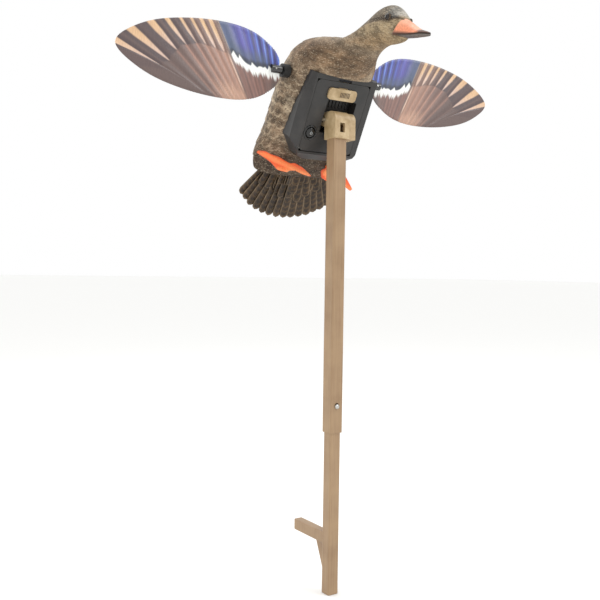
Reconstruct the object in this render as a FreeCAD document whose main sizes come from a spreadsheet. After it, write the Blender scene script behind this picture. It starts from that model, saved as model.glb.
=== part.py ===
import FreeCAD, Part
import math
import os
import Sketcher

# Motion wing decoy: a hollow duck body that climbs at a steep pitch on a two-piece square pole,
# with two plate wings spun by a battery motor.
# Frame: +Z up, the bird faces -Y, its right wing is at -X.
# Origin: centre of the stake's lower end, on the pole's axis.

doc = FreeCAD.newDocument("motion_wing_decoy")
V = FreeCAD.Vector

SIZES = {
    # square pole, lower piece with its foot step
    "lower_width": 15.875,
    "lower_wall": 1.5,
    "lower_shown": 207.0,
    "tube_overlap": 100.0,
    "tube_corner": 2.2,
    "step_top": 76.5,
    "step_width": 12.4,
    "step_height": 14.7,
    "step_reach": 76.0,
    "gusset_thickness": 4.0,
    "gusset_reach": 30.0,
    "gusset_foot": 14.0,
    # square pole, upper piece
    "upper_wall": 1.4375,
    "upper_shown": 377.0,
    "slide_gap": 0.15,
    "socket_depth": 18.0,
    "snap_rise": 35.0,
    "snap_diameter": 6.35,
    "snap_stand": 2.2,
    "snap_gap": 0.3,
    "spring_leaf": 0.8,
    # tilt knuckle and its pin
    "collar_wall": 1.75,
    "collar_depth": 25.6,
    "knuckle_height": 35.3,
    "cheek_width": 12.0,
    "cheek_setback": 3.8,
    "crown_radius": 11.0,
    "pin_setback": 12.6,
    "pin_radius": 2.5,
    "pin_gap": 0.05,
    "pin_boss": 9.0,
    "window_width": 7.5,
    "window_height": 12.0,
    "window_rise": 7.7,
    # the bird, level in its own axes: origin on the wing shaft's axis
    "pitch": 62.6,
    "pin_back": 46.0,
    "pin_drop": 36.0,
    "body_half_width": 63.0,
    "body_half_height": 50.0,
    "shell_wall": 3.0,
    "wall_per_lean": 0.05,
    "seat_gap": 0.3,
    # belly housing and its lid
    "face_drop": 42.0,
    "housing_front": 13.0,
    "housing_rear": 104.0,
    "housing_half_width": 54.0,
    "housing_shift": 3.0,
    "housing_wall": 2.4,
    "skirt_drop": 28.0,
    "bay_roof": 3.0,
    "shelf_drop": 17.5,
    "shelf_back": 17.0,
    "lid_margin": 13.0,
    "lid_front": 6.0,
    "lid_rear": 88.5,
    "lid_thickness": 2.4,
    "lid_gap": 0.4,
    "well_wall": 1.6,
    "well_front": 17.5,
    "well_rear": 62.0,
    "well_left": 18.0,
    "well_right": 27.0,
    "well_roof": 25.5,
    "hinge_radius": 1.5,
    "hinge_gap": 1.0,
    "hinge_reach": 3.2,
    "hinge_rise": 2.2,
    # latch and power button
    "latch_half_width": 21.6,
    "latch_length": 15.0,
    "latch_front": 2.0,
    "latch_travel": 4.0,
    "latch_stand": 2.6,
    "tongue_half_width": 9.0,
    "button_margin": 10.0,
    "button_room": 9.2,
    "button_radius": 6.8,
    "button_travel": 1.2,
    # cells
    "cell_radius": 7.25,
    "cell_length": 50.5,
    "cell_back": 24.6,
    "cell_gap": 0.4,
    # wing drive
    "shaft_radius": 3.0,
    "shaft_grip": 2.5,
    "shaft_gap": 0.05,
    "motor_radius": 13.8,
    "motor_half_length": 22.0,
    "bush_radius": 6.0,
    "bush_inner": 50.0,
    "flank_share": 0.9683,
    "seal_radius": 8.4,
    "seal_length": 9.5,
    "seal_gap": 0.5,
    "hub_radius": 5.3,
    "hub_length": 15.5,
    "hub_gap": 0.6,
    "hub_neck": 3.1,
    "slit_room": 0.5,
    "screw_back": 7.0,
    "screw_radius": 1.25,
    "screw_head": 2.4,
    "wing_length": 215.8,
    "wing_half_chord": 46.5,
    "wing_thickness": 1.6,
    # tail and feet
    "tail_root": 128.0,
    "tail_length": 78.0,
    "tail_rise": 12.0,
    "tail_thickness": 3.0,
    "foot_thickness": 3.0,
    "leg_radius": 3.0,
    "leg_across": 36.0,
    "leg_back": 118.0,
    "foot_drop": 24.0,
    "tail_root_half": 46.0,
}

# Sizes that follow from the ones above.
FOLLOWING = {
    "upper_width": "lower_width + 2 * slide_gap + 2 * upper_wall",
    "flank": "body_half_width * flank_share",
    "shaft_end": "flank + seal_length + hub_gap + shaft_grip",
    "wing_root": "flank + seal_length + hub_gap + hub_neck",
    "lid_half_width": "housing_half_width - lid_margin",
    "button_across": "lid_half_width - button_margin",
    "button_past_well": "max(button_across - well_left - well_wall; 0)",
    "button_back": "well_rear + well_wall + sqrt(max(button_room ^ 2 - button_past_well ^ 2; 0))",
}

sheet = doc.addObject("Spreadsheet::Sheet", "dims")
for row, (name, size) in enumerate(SIZES.items(), start=1):
    sheet.set("A%d" % row, name)
    sheet.set("B%d" % row, str(size))
    sheet.setAlias("B%d" % row, name)
doc.recompute()

nodes = []


def formula(text):
    """Turns plain names in a formula into references to the sheet."""
    words = []
    word = ""
    for letter in text + " ":
        if letter.isalnum() or letter == "_":
            word += letter
            continue
        if word in FOLLOWING:
            words.append("(" + formula(FOLLOWING[word]) + ")")
        else:
            words.append("dims." + word if word in SIZES else word)
        words.append(letter)
        word = ""
    return "".join(words).strip()


def value(text):
    """The number that a formula gives now."""
    return float(sheet.evalExpression(formula(text)))


def bind(item, **rules):
    """Binds properties of one object to formulas; a double underscore stands for a dot."""
    for name, text in rules.items():
        item.setExpression(name.replace("__", "."), formula(text))


# ---------------------------------------------------------------- solids that sub-parts are made of

def box(x, y, z, round_edges=None):
    """A block between two x, two y and two z formulas."""
    block = doc.addObject("Part::Box", "block")
    bind(block, Length="(%s) - (%s)" % (x[1], x[0]), Width="(%s) - (%s)" % (y[1], y[0]),
         Height="(%s) - (%s)" % (z[1], z[0]), Placement__Base__x=x[0], Placement__Base__y=y[0],
         Placement__Base__z=z[0])
    if round_edges is None:
        return block
    doc.recompute()
    axis, radius = round_edges
    picked = []
    for number, edge in enumerate(block.Shape.Edges, start=1):
        along = edge.tangentAt(edge.FirstParameter)
        if abs(abs(along[axis]) - 1.0) < 1e-6:
            picked.append((number, value(radius), value(radius)))
    rounded = doc.addObject("Part::Fillet", "rounded_block")
    rounded.Base = block
    rounded.Edges = picked
    return rounded


TURNS = {"x": (V(0, 1, 0), 90), "y": (V(-1, 0, 0), 90), "z": (V(0, 0, 1), 0)}


def rod(axis, start, length, radius, across=("0", "0")):
    """A round bar along one axis; across gives the other two places in x, y, z order."""
    bar = doc.addObject("Part::Cylinder", "rod")
    place = dict(zip([c for c in "xyz" if c != axis], across))
    place[axis] = start
    turn = TURNS[axis]
    bar.Placement = FreeCAD.Placement(V(0, 0, 0), FreeCAD.Rotation(turn[0], turn[1]))
    bind(bar, Radius=radius, Height=length, Placement__Base__x=place["x"], Placement__Base__y=place["y"],
         Placement__Base__z=place["z"])
    return bar


def cut(base, *tools):
    """What is left of base without the tools."""
    for tool in tools:
        result = doc.addObject("Part::Cut", "cut")
        result.Base = base
        result.Tool = tool
        base = result
    return base


def fuse(*items):
    """Several solids as one."""
    result = doc.addObject("Part::MultiFuse", "fuse")
    result.Shapes = list(items)
    return result


def group(*items):
    """Several separate solids in one sub-part."""
    result = doc.addObject("Part::Compound", "group")
    result.Links = list(items)
    return result


def outline(label, plane, points, start, length):
    """A body padded from a sketch with straight sides; its corners are pairs of formulas."""
    body = doc.addObject("PartDesign::Body", label + "_body")
    sketch = body.newObject("Sketcher::SketchObject", label + "_sketch")
    base = [item for item in body.Origin.OriginFeatures if item.Role == plane][0]
    sketch.AttachmentSupport = [(base, "")]
    sketch.MapMode = "FlatFace"
    bind(sketch, AttachmentOffset__Base__z=start)
    corners = [V(value(x), value(y), 0) for x, y in points]
    for number, corner in enumerate(corners):
        sketch.addGeometry(Part.LineSegment(corner, corners[(number + 1) % len(corners)]))
    for number in range(len(corners)):
        sketch.addConstraint(Sketcher.Constraint("Coincident", number, 2, (number + 1) % len(corners), 1))
    for number, (x, y) in enumerate(points):
        for kind, text, place in (("DistanceX", x, corners[number].x), ("DistanceY", y, corners[number].y)):
            index = sketch.addConstraint(Sketcher.Constraint(kind, -1, 1, number, 1, place))
            sketch.setExpression("Constraints[%d]" % index, formula(text))
    pad = body.newObject("PartDesign::Pad", label + "_pad")
    pad.Profile = sketch
    bind(pad, Length=length)
    body.Tip = pad
    return body


def sides():
    """Each side's name and the sign of its x."""
    return (("right", -1), ("left", 1))


def keep(label, item):
    """Makes a finished solid a sub-part of the pole, in the row's own axes."""
    item.Label = label
    nodes.append(item)
    return item


def on_bird(label, item):
    """Makes a solid drawn in the level bird's axes a sub-part, pitched up on the tilt pin."""
    body = doc.addObject("Part::Compound", label + "_seat")
    body.Links = [item]
    body.Placement = FreeCAD.Placement(V(0, 0, 0), FreeCAD.Rotation(V(-1, 0, 0), 60))
    rise = "lower_shown + upper_shown + knuckle_height - pin_boss"
    bind(body, Placement__Rotation__Angle="pitch",
         Placement__Base__y="pin_setback - pin_back * cos(pitch * 1deg) + pin_drop * sin(pitch * 1deg)",
         Placement__Base__z=rise + " + pin_back * sin(pitch * 1deg) + pin_drop * cos(pitch * 1deg)")
    return keep(label, body)


def on_shaft(label, item):
    """Makes a solid of the spinning set a sub-part: drawn about the shaft, its blades upright."""
    body = doc.addObject("Part::Compound", label + "_seat")
    body.Links = [item]
    bind(body, Placement__Base__y="pin_setback - pin_back * cos(pitch * 1deg) + pin_drop * sin(pitch * 1deg)",
         Placement__Base__z="lower_shown + upper_shown + knuckle_height - pin_boss"
                            " + pin_back * sin(pitch * 1deg) + pin_drop * cos(pitch * 1deg)")
    return keep(label, body)


# ---------------------------------------------------------------- pole

def square_tube(width, bore, start, end):
    """A square tube along Z with rounded corners inside and out."""
    outer = box(("-%s / 2" % width, width + " / 2"), ("-%s / 2" % width, width + " / 2"), (start, end),
                (2, "tube_corner"))
    inner = box(("-(%s) / 2" % bore, "(%s) / 2" % bore), ("-(%s) / 2" % bore, "(%s) / 2" % bore),
                (start + " - 1", end + " + 1"), (2, "tube_corner - 1"))
    return cut(outer, inner)


UPPER_BORE = "lower_width + 2 * slide_gap"
SNAP_HEIGHT = "(lower_shown + snap_rise)"
SOCKET_FLOOR = "(lower_shown + upper_shown)"


def lower_tube():
    tube = square_tube("lower_width", "lower_width - 2 * lower_wall", "0", "lower_shown + tube_overlap")
    hole = rod("y", "-lower_width", "lower_width", "snap_diameter / 2 + snap_gap", ("0", SNAP_HEIGHT))
    return keep("lower_tube", cut(tube, hole))


def foot_step():
    return keep("foot_step", box(("-step_width / 2", "step_width / 2"), ("lower_width / 2", "step_reach"),
                                 ("step_top - step_height", "step_top"), (1, "1.5")))


def step_gusset():
    under = "step_top - step_height"
    points = [("lower_width / 2", "gusset_foot"), ("gusset_reach", under), ("lower_width / 2", under)]
    return keep("step_gusset", outline("step_gusset", "YZ_Plane", points, "-gusset_thickness / 2",
                                       "gusset_thickness"))


def upper_tube():
    end = SOCKET_FLOOR + " + socket_depth"
    tube = square_tube("upper_width", UPPER_BORE, "lower_shown", end)
    hole = rod("y", "-upper_width", "upper_width", "snap_diameter / 2 + snap_gap", ("0", SNAP_HEIGHT))
    window = box(("-window_width / 2", "window_width / 2"), ("-upper_width", "0"),
                 (SOCKET_FLOOR + " + window_rise", end + " + 1"))
    return keep("upper_tube", cut(tube, hole, window))


LEAF = "(lower_width / 2 - lower_wall - snap_gap)"


def snap_button():
    """Domed button riveted to its own end of the folded leaf spring."""
    face = "-upper_width / 2"
    shank = rod("y", face + " - snap_stand + 1.2", "upper_width / 2 + snap_stand - 0.2 - " + LEAF,
                "snap_diameter / 2", ("0", SNAP_HEIGHT))
    dome = doc.addObject("Part::Sphere", "button_dome")
    bind(dome, Radius="snap_diameter / 2", Placement__Base__z=SNAP_HEIGHT,
         Placement__Base__y=face + " - snap_stand + snap_diameter / 2 - 0.4")
    leaf = box(("-4", "4"), ("-" + LEAF, "-%s + spring_leaf" % LEAF),
               (SNAP_HEIGHT + " - 8", SNAP_HEIGHT + " + 6"))
    return keep("snap_button", fuse(shank, dome, leaf))


def snap_spring():
    """Rest of the leaf spring, folded over against the lower tube's rear wall."""
    start = SNAP_HEIGHT + " + 6"
    end = SNAP_HEIGHT + " + 34"
    front = box(("-4", "4"), ("-" + LEAF, "-%s + spring_leaf" % LEAF), (start, end))
    back = box(("-4", "4"), (LEAF + " - spring_leaf", LEAF), (SNAP_HEIGHT + " - 8", end))
    fold = box(("-4", "4"), ("-" + LEAF, LEAF), (end + " - spring_leaf", end))
    return keep("snap_spring", fuse(front, back, fold))


# ---------------------------------------------------------------- tilt knuckle

COLLAR = "(upper_width / 2 + collar_wall)"
KNUCKLE_TOP = "(lower_shown + upper_shown + knuckle_height)"
PIN_HEIGHT = "(lower_shown + upper_shown + knuckle_height - pin_boss)"


def knuckle():
    """Moulded socket on the pole's end, with a wider cheek at one side and an eye for the pin."""
    block = box(("-" + COLLAR, COLLAR), ("-collar_depth / 2", "collar_depth / 2"),
                (SOCKET_FLOOR, KNUCKLE_TOP + " - crown_radius"), (2, "1.2"))
    top = box(("-" + COLLAR, COLLAR), ("-collar_depth / 2 + crown_radius", "pin_setback"),
              (KNUCKLE_TOP + " - crown_radius", KNUCKLE_TOP))
    brow = rod("x", "-" + COLLAR, "2 * " + COLLAR, "crown_radius",
               ("-collar_depth / 2 + crown_radius", KNUCKLE_TOP + " - crown_radius"))
    cheek_front = "(-collar_depth / 2 + cheek_setback)"
    cheek = box((COLLAR, COLLAR + " + cheek_width"), (cheek_front, "collar_depth / 2"),
                (SOCKET_FLOOR, KNUCKLE_TOP + " - crown_radius"))
    cheek_top = box((COLLAR, COLLAR + " + cheek_width"), (cheek_front + " + crown_radius", "pin_setback"),
                    (KNUCKLE_TOP + " - crown_radius", KNUCKLE_TOP))
    cheek_brow = rod("x", COLLAR, "cheek_width", "crown_radius",
                     (cheek_front + " + crown_radius", KNUCKLE_TOP + " - crown_radius"))
    eye = rod("x", "-" + COLLAR, "2 * %s + cheek_width" % COLLAR, "pin_boss", ("pin_setback", PIN_HEIGHT))
    socket = box(("-upper_width / 2", "upper_width / 2"), ("-upper_width / 2", "upper_width / 2"),
                 (SOCKET_FLOOR + " - 1", SOCKET_FLOOR + " + socket_depth"))
    window = box(("-window_width / 2", "window_width / 2"), ("-collar_depth", "0"),
                 (SOCKET_FLOOR + " + window_rise", SOCKET_FLOOR + " + window_rise + window_height"))
    bore = rod("x", "-60", "120", "pin_radius + pin_gap", ("pin_setback", PIN_HEIGHT))
    solid = fuse(block, top, brow, cheek, cheek_top, cheek_brow, eye)
    return keep("knuckle", cut(solid, socket, window, bore))


# ---------------------------------------------------------------- lid that carries the tilt pin

PIN_AT = ("pin_back", "-pin_drop")
BOSS = "4.0"
HINGE_AT = ("lid_rear - hinge_reach", "-face_drop + hinge_rise")


def battery_lid():
    """Belly lid with a deep well for the knuckle, hinged at its rear edge, latched at its front."""
    plate = box(("-lid_half_width", "lid_half_width"), ("-lid_front", "lid_rear"),
                ("-face_drop", "-face_drop + lid_thickness"), (2, "6"))
    well = box(("-well_left - well_wall", "well_right + well_wall"),
               ("well_front - well_wall", "well_rear + well_wall"),
               ("-face_drop", "-well_roof + well_wall"))
    left = rod("x", "-well_left - %s" % BOSS, BOSS, "pin_radius + 3", PIN_AT)
    right = rod("x", "well_right", BOSS, "pin_radius + 3", PIN_AT)
    room = box(("-well_left", "well_right"), ("well_front", "well_rear"), ("-face_drop - 1", "-well_roof"),
               (2, "2"))
    pin = rod("x", "-well_left - %s" % BOSS, "well_left + well_right + 2 * %s" % BOSS, "pin_radius", PIN_AT)
    button = rod("z", "-face_drop - 1", "lid_thickness + 2", "button_radius + seat_gap",
                 ("-button_across", "button_back"))
    slot = box(("-tongue_half_width + 2", "tongue_half_width - 2"),
               ("latch_front - 1", "latch_front + 9"), ("-face_drop - 1", "-face_drop + lid_thickness + 1"))
    ear = box(("-lid_half_width + 8", "lid_half_width - 8"),
              ("lid_rear - 6", "lid_rear"), ("-face_drop + 1", "-face_drop + 2 * hinge_rise"))
    bore = rod("x", "-60", "120", "hinge_radius + pin_gap",
               HINGE_AT)
    return on_bird("battery_lid", cut(fuse(plate, well, left, right, ear), room, pin, button, slot, bore))


def tilt_pin():
    return on_bird("tilt_pin", rod("x", "-well_left - %s" % BOSS, "well_left + well_right + 2 * %s" % BOSS,
                                   "pin_radius", PIN_AT))


def latch():
    """Sliding catch: a flat pad outside the lid and a tongue inside that passes the front rim."""
    pad = box(("-latch_half_width", "latch_half_width"), ("latch_front", "latch_front + latch_length"),
              ("-face_drop - latch_stand", "-face_drop - 0.1"), (2, "4.5"))
    neck = box(("-tongue_half_width + 2.2", "tongue_half_width - 2.2"),
               ("latch_front - 0.8", "latch_front + 4.8"),
               ("-face_drop - 0.2", "-face_drop + lid_thickness + 0.4"))
    tongue = box(("-tongue_half_width", "tongue_half_width"), ("-lid_front - 2.6", "latch_front + 8"),
                 ("-face_drop + lid_thickness + 0.2", "-face_drop + lid_thickness + 2"))
    return on_bird("latch", fuse(pad, neck, tongue))


def power_button():
    """Domed cap with a stem that reaches the switch board."""
    cap = rod("z", "-face_drop - 1.4", "lid_thickness + 1.8", "button_radius",
              ("-button_across", "button_back"))
    flange = rod("z", "-face_drop + lid_thickness + 0.2", "1",
                 "button_radius + 1.4", ("-button_across", "button_back"))
    return on_bird("power_button", fuse(cap, flange))


def switch_board():
    """Small board on two posts behind the power button."""
    rear = "-face_drop + lid_thickness + 5.4"
    plate = box(("-lid_half_width + 1.5", "-button_across + 8.6"), ("button_back - 3.2", "button_back + 8.5"),
                (rear, rear + " + 1.4"))
    switch = box(("-button_across - 3", "-button_across + 3"), ("button_back - 3", "button_back + 3"),
                 ("-face_drop + lid_thickness + 1.5 + button_travel", rear))
    posts = [rod("z", "-face_drop + lid_thickness", "5.4", "1.2", (x, y))
             for x, y in (("-lid_half_width + 3", "button_back + 7"),
                          ("-button_across + 7.2", "button_back + 7"))]
    return on_bird("switch_board", fuse(plate, switch, *posts))


# ---------------------------------------------------------------- belly housing, cells, motor

FRONT = "-housing_front"


def plan(label, inset, start, length):
    """The housing's plan: a long box, a little to the bird's left, its rear corners slanted."""
    left = "(housing_shift + housing_half_width - %s)" % inset
    right = "(housing_shift - housing_half_width + %s)" % inset
    points = [(right + " + 3", FRONT + " + %s" % inset), (left + " - 3", FRONT + " + %s" % inset),
              (left, "30"), (left, "housing_rear - 27"), (left + " - 14", "housing_rear - 6 - %s" % inset),
              (left + " - 28", "housing_rear - %s" % inset), (right + " + 28", "housing_rear - %s" % inset),
              (right + " + 14", "housing_rear - 6 - %s" % inset), (right, "housing_rear - 27"), (right, "30")]
    return outline(label, "XY_Plane", points, start, length)


def belly_housing():
    """Moulded battery and motor box set into the belly, its outer face bevelled round the lid."""
    shell = plan("housing_shell", "0", "-face_drop", "face_drop - bay_roof")
    hollow = plan("housing_hollow", "housing_wall", "-skirt_drop", "skirt_drop - bay_roof - housing_wall")
    across = ("-housing_half_width - 1", "housing_shift + housing_half_width + 1")
    shelf = box(across, (FRONT + " - 1", "shelf_back"), ("-shelf_drop", "1"))
    shelf_room = box(across, (FRONT + " - 1", "shelf_back + housing_wall"),
                     ("-shelf_drop - housing_wall", "1"))
    opening = box(("-lid_half_width - lid_gap", "lid_half_width + lid_gap"),
                  ("-lid_front - lid_gap", "lid_rear + hinge_gap"), ("-face_drop - 1", "-skirt_drop + 1"))
    notch = box(("-tongue_half_width - 1", "tongue_half_width + 1"), ("-lid_front - 3.6", "-lid_front"),
                ("-face_drop - 1", "-skirt_drop + 1"))
    pin = rod("x", "-lid_half_width - 3", "2 * lid_half_width + 6", "hinge_radius", HINGE_AT)
    bevels = []
    for side, sign in sides():
        face = "lid_half_width + 3" + (" + 2 * housing_shift" if sign > 0 else "")
        skirt = "housing_half_width" + (" + housing_shift" if sign > 0 else " - housing_shift")
        edge = [(face, "-face_drop"), (skirt, "-skirt_drop"), (skirt + " + 9", "-skirt_drop"),
                (skirt + " + 9", "-face_drop - 1"), (face, "-face_drop - 1")]
        points = [("%d * (%s)" % (sign, x), z) for x, z in edge]
        bevels.append(outline("bevel_" + side, "XZ_Plane", points,
                              "-housing_rear - 1", "housing_rear + housing_front + 2"))
    rear = [("lid_rear + 4", "-face_drop"), ("housing_rear", "-skirt_drop"),
            ("housing_rear + 9", "-skirt_drop"), ("housing_rear + 9", "-face_drop - 1"),
            ("lid_rear + 4", "-face_drop - 1")]
    bevels.append(outline("bevel_rear", "YZ_Plane", rear, "-housing_half_width - 1",
                          "2 * housing_half_width + housing_shift + 2"))
    solid = cut(shell, shelf, cut(hollow, shelf_room), opening, notch, pin, *bevels)
    return on_bird("belly_housing", solid)


def catch_clip():
    """Leaf spring across the housing's front notch that the latch's tongue snaps behind."""
    return on_bird("catch_clip", box(("-tongue_half_width - 1", "tongue_half_width + 1"),
                                     ("-lid_front - 3.6", "-lid_front - lid_gap - 0.2"),
                                     ("-face_drop + 0.8", "-face_drop + 1.8")))


def hinge_pin():
    return on_bird("hinge_pin", rod("x", "-lid_half_width - 3", "2 * lid_half_width + 6", "hinge_radius",
                                    HINGE_AT))


CELL_DROP = "(well_roof - well_wall - 0.9 - cell_radius)"


def aa_cells():
    """Four cells side by side, with their raised contact at alternate ends."""
    cells = []
    for number in range(4):
        across = "%g * (2 * cell_radius + cell_gap)" % (number - 1.5)
        can = rod("y", "cell_back", "cell_length - 1", "cell_radius", (across, "-" + CELL_DROP))
        end = "cell_back - 1" if number % 2 else "cell_back + cell_length - 1"
        tip = rod("y", end, "1", "2.6", (across, "-" + CELL_DROP))
        cells.append(fuse(can, tip))
    return on_bird("aa_cells", group(*cells))


def cell_holder():
    """Open tray glued under the bay's roof; the cells drop in from the lid side."""
    half = "(4 * cell_radius + 1.5 * cell_gap + 1.2)"
    low = "-%s - 4" % CELL_DROP
    roof = "-bay_roof - housing_wall"
    outer = box(("-" + half, half), ("cell_back - 4", "cell_back + cell_length + 4"), (low, roof))
    room = box(("-%s + 1" % half, half + " - 1"), ("cell_back - 2.4", "cell_back + cell_length + 2.4"),
               (low + " - 1", roof + " - 1"))
    return on_bird("cell_holder", cut(outer, room))


def cell_contacts():
    """Sprung contact strips at both ends of the tray."""
    half = "(4 * cell_radius)"
    low = "-%s - 3.5" % CELL_DROP
    front = box(("-" + half, half), ("cell_back - 2.3", "cell_back - 1.2"), (low, "-%s + 3.5" % CELL_DROP))
    rear = box(("-" + half, half), ("cell_back + cell_length + 0.2", "cell_back + cell_length + 1.3"),
               (low, "-%s + 3.5" % CELL_DROP))
    return on_bird("cell_contacts", group(front, rear))


def motor():
    """Motor can with a bearing boss at each end, open along its axis for the shaft."""
    can = rod("x", "-motor_half_length", "2 * motor_half_length", "motor_radius")
    boss = rod("x", "-motor_half_length - 3", "2 * motor_half_length + 6", "shaft_radius + 2.5")
    bore = rod("x", "-60", "120", "shaft_radius + shaft_gap")
    return on_bird("motor", cut(fuse(can, boss), bore))


def motor_saddle():
    """Cradle screwed to the housing's shelf, with a strap over the motor."""
    top = "motor_radius + 2.4"
    block = box(("-motor_half_length + 4", "motor_half_length - 4"), ("-11.5", "11.5"), ("-shelf_drop", "0"))
    strap = rod("x", "-motor_half_length + 4", "2 * motor_half_length - 8", top)
    seat = rod("x", "-60", "120", "motor_radius")
    clear = box(("-60", "60"), ("-60", "60"), ("-60", "-shelf_drop"))
    holes = [rod("z", "-shelf_drop - 1", "12", "1.6", (x, y)) for x, y in SADDLE_HOLES]
    feet = box(("-motor_half_length - 2", "motor_half_length + 2"), ("-11.5", "11.5"),
               ("-shelf_drop", "-shelf_drop + 2.4"))
    return on_bird("motor_saddle", cut(fuse(block, strap, feet), seat, clear, *holes))


SADDLE_HOLES = [(side + "(motor_half_length - 1)", y) for side in ("", "-") for y in ("-7", "7")]


def saddle_screws():
    """Four screws through the saddle's feet into the shelf."""
    screws = []
    for x, y in SADDLE_HOLES:
        shank = rod("z", "-shelf_drop", "2.4", "1.5", (x, y))
        head = rod("z", "-shelf_drop + 2.4", "1.6", "2.6", (x, y))
        screws.append(fuse(shank, head))
    return on_bird("saddle_screws", group(*screws))


def control_board():
    """Timer and receiver board on the rear of the shelf."""
    plate = box(("-30", "-8"), ("shelf_back + housing_wall + 3", "shelf_back + housing_wall + 33"),
                ("-bay_roof", "-bay_roof + 1.6"))
    chip = box(("-24", "-14"), ("shelf_back + 14", "shelf_back + 24"), ("-bay_roof + 1.6", "-bay_roof + 3.4"))
    return on_bird("control_board", fuse(plate, chip))


# ---------------------------------------------------------------- wing drive

def span(sign, start, length):
    """Start of a run that leaves the middle plane outwards on one side."""
    return start if sign > 0 else "-(%s) - (%s)" % (start, length)


def drive_shaft():
    return on_shaft("drive_shaft", rod("x", "-shaft_end", "2 * shaft_end", "shaft_radius"))


def shaft_bush(side, sign):
    """Plain bearing through the flank."""
    length = "flank - bush_inner"
    tube = rod("x", span(sign, "bush_inner", length), length, "bush_radius")
    bore = rod("x", "-100", "200", "shaft_radius + shaft_gap")
    return on_bird("shaft_bush_" + side, cut(tube, bore))


def shaft_seal(side, sign):
    """Rubber collar on the bush's outer face that keeps spray out."""
    tube = rod("x", span(sign, "flank", "seal_length"), "seal_length", "seal_radius")
    bore = rod("x", "-100", "200", "shaft_radius + seal_gap")
    return on_bird("shaft_seal_" + side, cut(tube, bore))


def wing_hub(side, sign):
    """Turned hub on the shaft's end, slit across its outer part to hold the wing."""
    start = "flank + seal_length + hub_gap"
    body = rod("x", span(sign, start, "hub_length"), "hub_length", "hub_radius")
    bore = rod("x", span(sign, "0", "shaft_end"), "shaft_end", "shaft_radius")
    slit_start = span(sign, "wing_root - slit_room", "40")
    slit = box((slit_start, slit_start + " + 40"), ("-wing_thickness / 2", "wing_thickness / 2"),
               ("-hub_radius - 1", "hub_radius + 1"))
    hole = rod("y", "-20", "40", "screw_radius", (span(sign, "wing_root + screw_back", "0"), "0"))
    return on_shaft("wing_hub_" + side, cut(body, bore, slit, hole))


def wing_screw(side, sign):
    """Screw through hub and wing, with a low head."""
    at = span(sign, "wing_root + screw_back", "0")
    shank = rod("y", "-hub_radius + 0.3", "2 * hub_radius - 0.6", "screw_radius", (at, "0"))
    head = rod("y", "hub_radius - 0.3", "1.5", "screw_head", (at, "0"))
    return on_shaft("wing_screw_" + side, fuse(shank, head))


def wing(side, sign):
    """Flat wing blade, round by the hub and drawn out to the tip."""
    body = doc.addObject("PartDesign::Body", "wing_body_" + side)
    sketch = body.newObject("Sketcher::SketchObject", "wing_sketch_" + side)
    base = [item for item in body.Origin.OriginFeatures if item.Role == "XZ_Plane"][0]
    sketch.AttachmentSupport = [(base, "")]
    sketch.MapMode = "FlatFace"
    root = sign * value("wing_root")
    tip = sign * value("wing_root + wing_length")
    chord = value("wing_half_chord")
    shares = ((0.12, 0.78), (0.36, 1.0), (0.68, 0.84), (0.92, 0.40))
    upper = [V(root + (tip - root) * along, chord * high, 0) for along, high in shares]
    ring = [V(root, 0, 0)] + upper + [V(tip, 0, 0)] + [V(p.x, -p.y, 0) for p in reversed(upper)]
    curve = Part.BSplineCurve()
    curve.interpolate(Points=ring, PeriodicFlag=True)
    sketch.addGeometry(curve)
    bind(sketch, AttachmentOffset__Base__z="-wing_thickness / 2")
    pad = body.newObject("PartDesign::Pad", "wing_pad_" + side)
    pad.Profile = sketch
    bind(pad, Length="wing_thickness")
    body.Tip = pad
    hole = rod("y", "-20", "40", "screw_radius", (span(sign, "wing_root + screw_back", "0"), "0"))
    return on_shaft("wing_" + side, cut(body, hole))


# ---------------------------------------------------------------- body shell, tail, feet

# Cross-sections from the rump to the neck: place back from the shaft, place above it, lean forward in
# degrees, then half width, rise and drop as shares of the body's greatest half width and half height.
BODY_STATIONS = (
    (143, 12, 0, 0.76, 0.10, 0.10),
    (132, 13, 0, 1.03, 0.38, 0.28),
    (113, 15, 0, 1.04, 0.70, 0.54),
    (82, 16, 0, 0.97, 0.86, 0.88),
    (48, 11, 2, 0.97, 0.96, 0.98),
    (12, 4, 10, 0.97, 1.06, 1.00),
    (-14, -5, 28, 0.92, 0.98, 0.94),
    (-34, -24, 48, 0.78, 0.54, 0.84),
    (-49, -44, 58, 0.54, 0.30, 0.60),
    (-64, -60, 60, 0.39, 0.26, 0.48),
    (-79, -75, 64, 0.33, 0.31, 0.46),
    (-90, -90, 66, 0.32, 0.42, 0.46),
    (-96, -106, 66, 0.30, 0.44, 0.46),
    (-98, -119, 66, 0.23, 0.32, 0.38),
    (-99, -126, 66, 0.13, 0.16, 0.22),
)
BILL_STATIONS = (
    (-97, -112, 66, 0.17, 0.20, 0.22),
    (-98, -126, 66, 0.15, 0.13, 0.22),
    (-98, -138, 66, 0.13, 0.10, 0.14),
    (-99, -155, 66, 0.14, 0.08, 0.09),
    (-102, -171, 66, 0.09, 0.04, 0.04),
)


def section(station, thinner=0.0):
    """A closed smooth ring round one station, taller above its centre than below it."""
    back, above, lean, wide, rise, drop = station
    half_width = wide * value("body_half_width") - thinner
    up = rise * value("body_half_height") - thinner
    down = drop * value("body_half_height") - thinner
    tilt = math.radians(lean)
    ring = []
    for step in range(12):
        angle = math.radians(30 * step)
        height = math.sin(angle) * (up if math.sin(angle) > 0 else down)
        ring.append(V(math.cos(angle) * half_width, back - height * math.sin(tilt),
                      above + height * math.cos(tilt)))
    curve = Part.BSplineCurve()
    curve.interpolate(Points=ring, PeriodicFlag=True)
    return Part.Wire([curve.toShape()])


def solid_feature(name, shape):
    """A solid made with Part's own functions, as an object of the document."""
    item = doc.addObject("Part::Feature", name)
    item.Shape = shape
    return item


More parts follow.
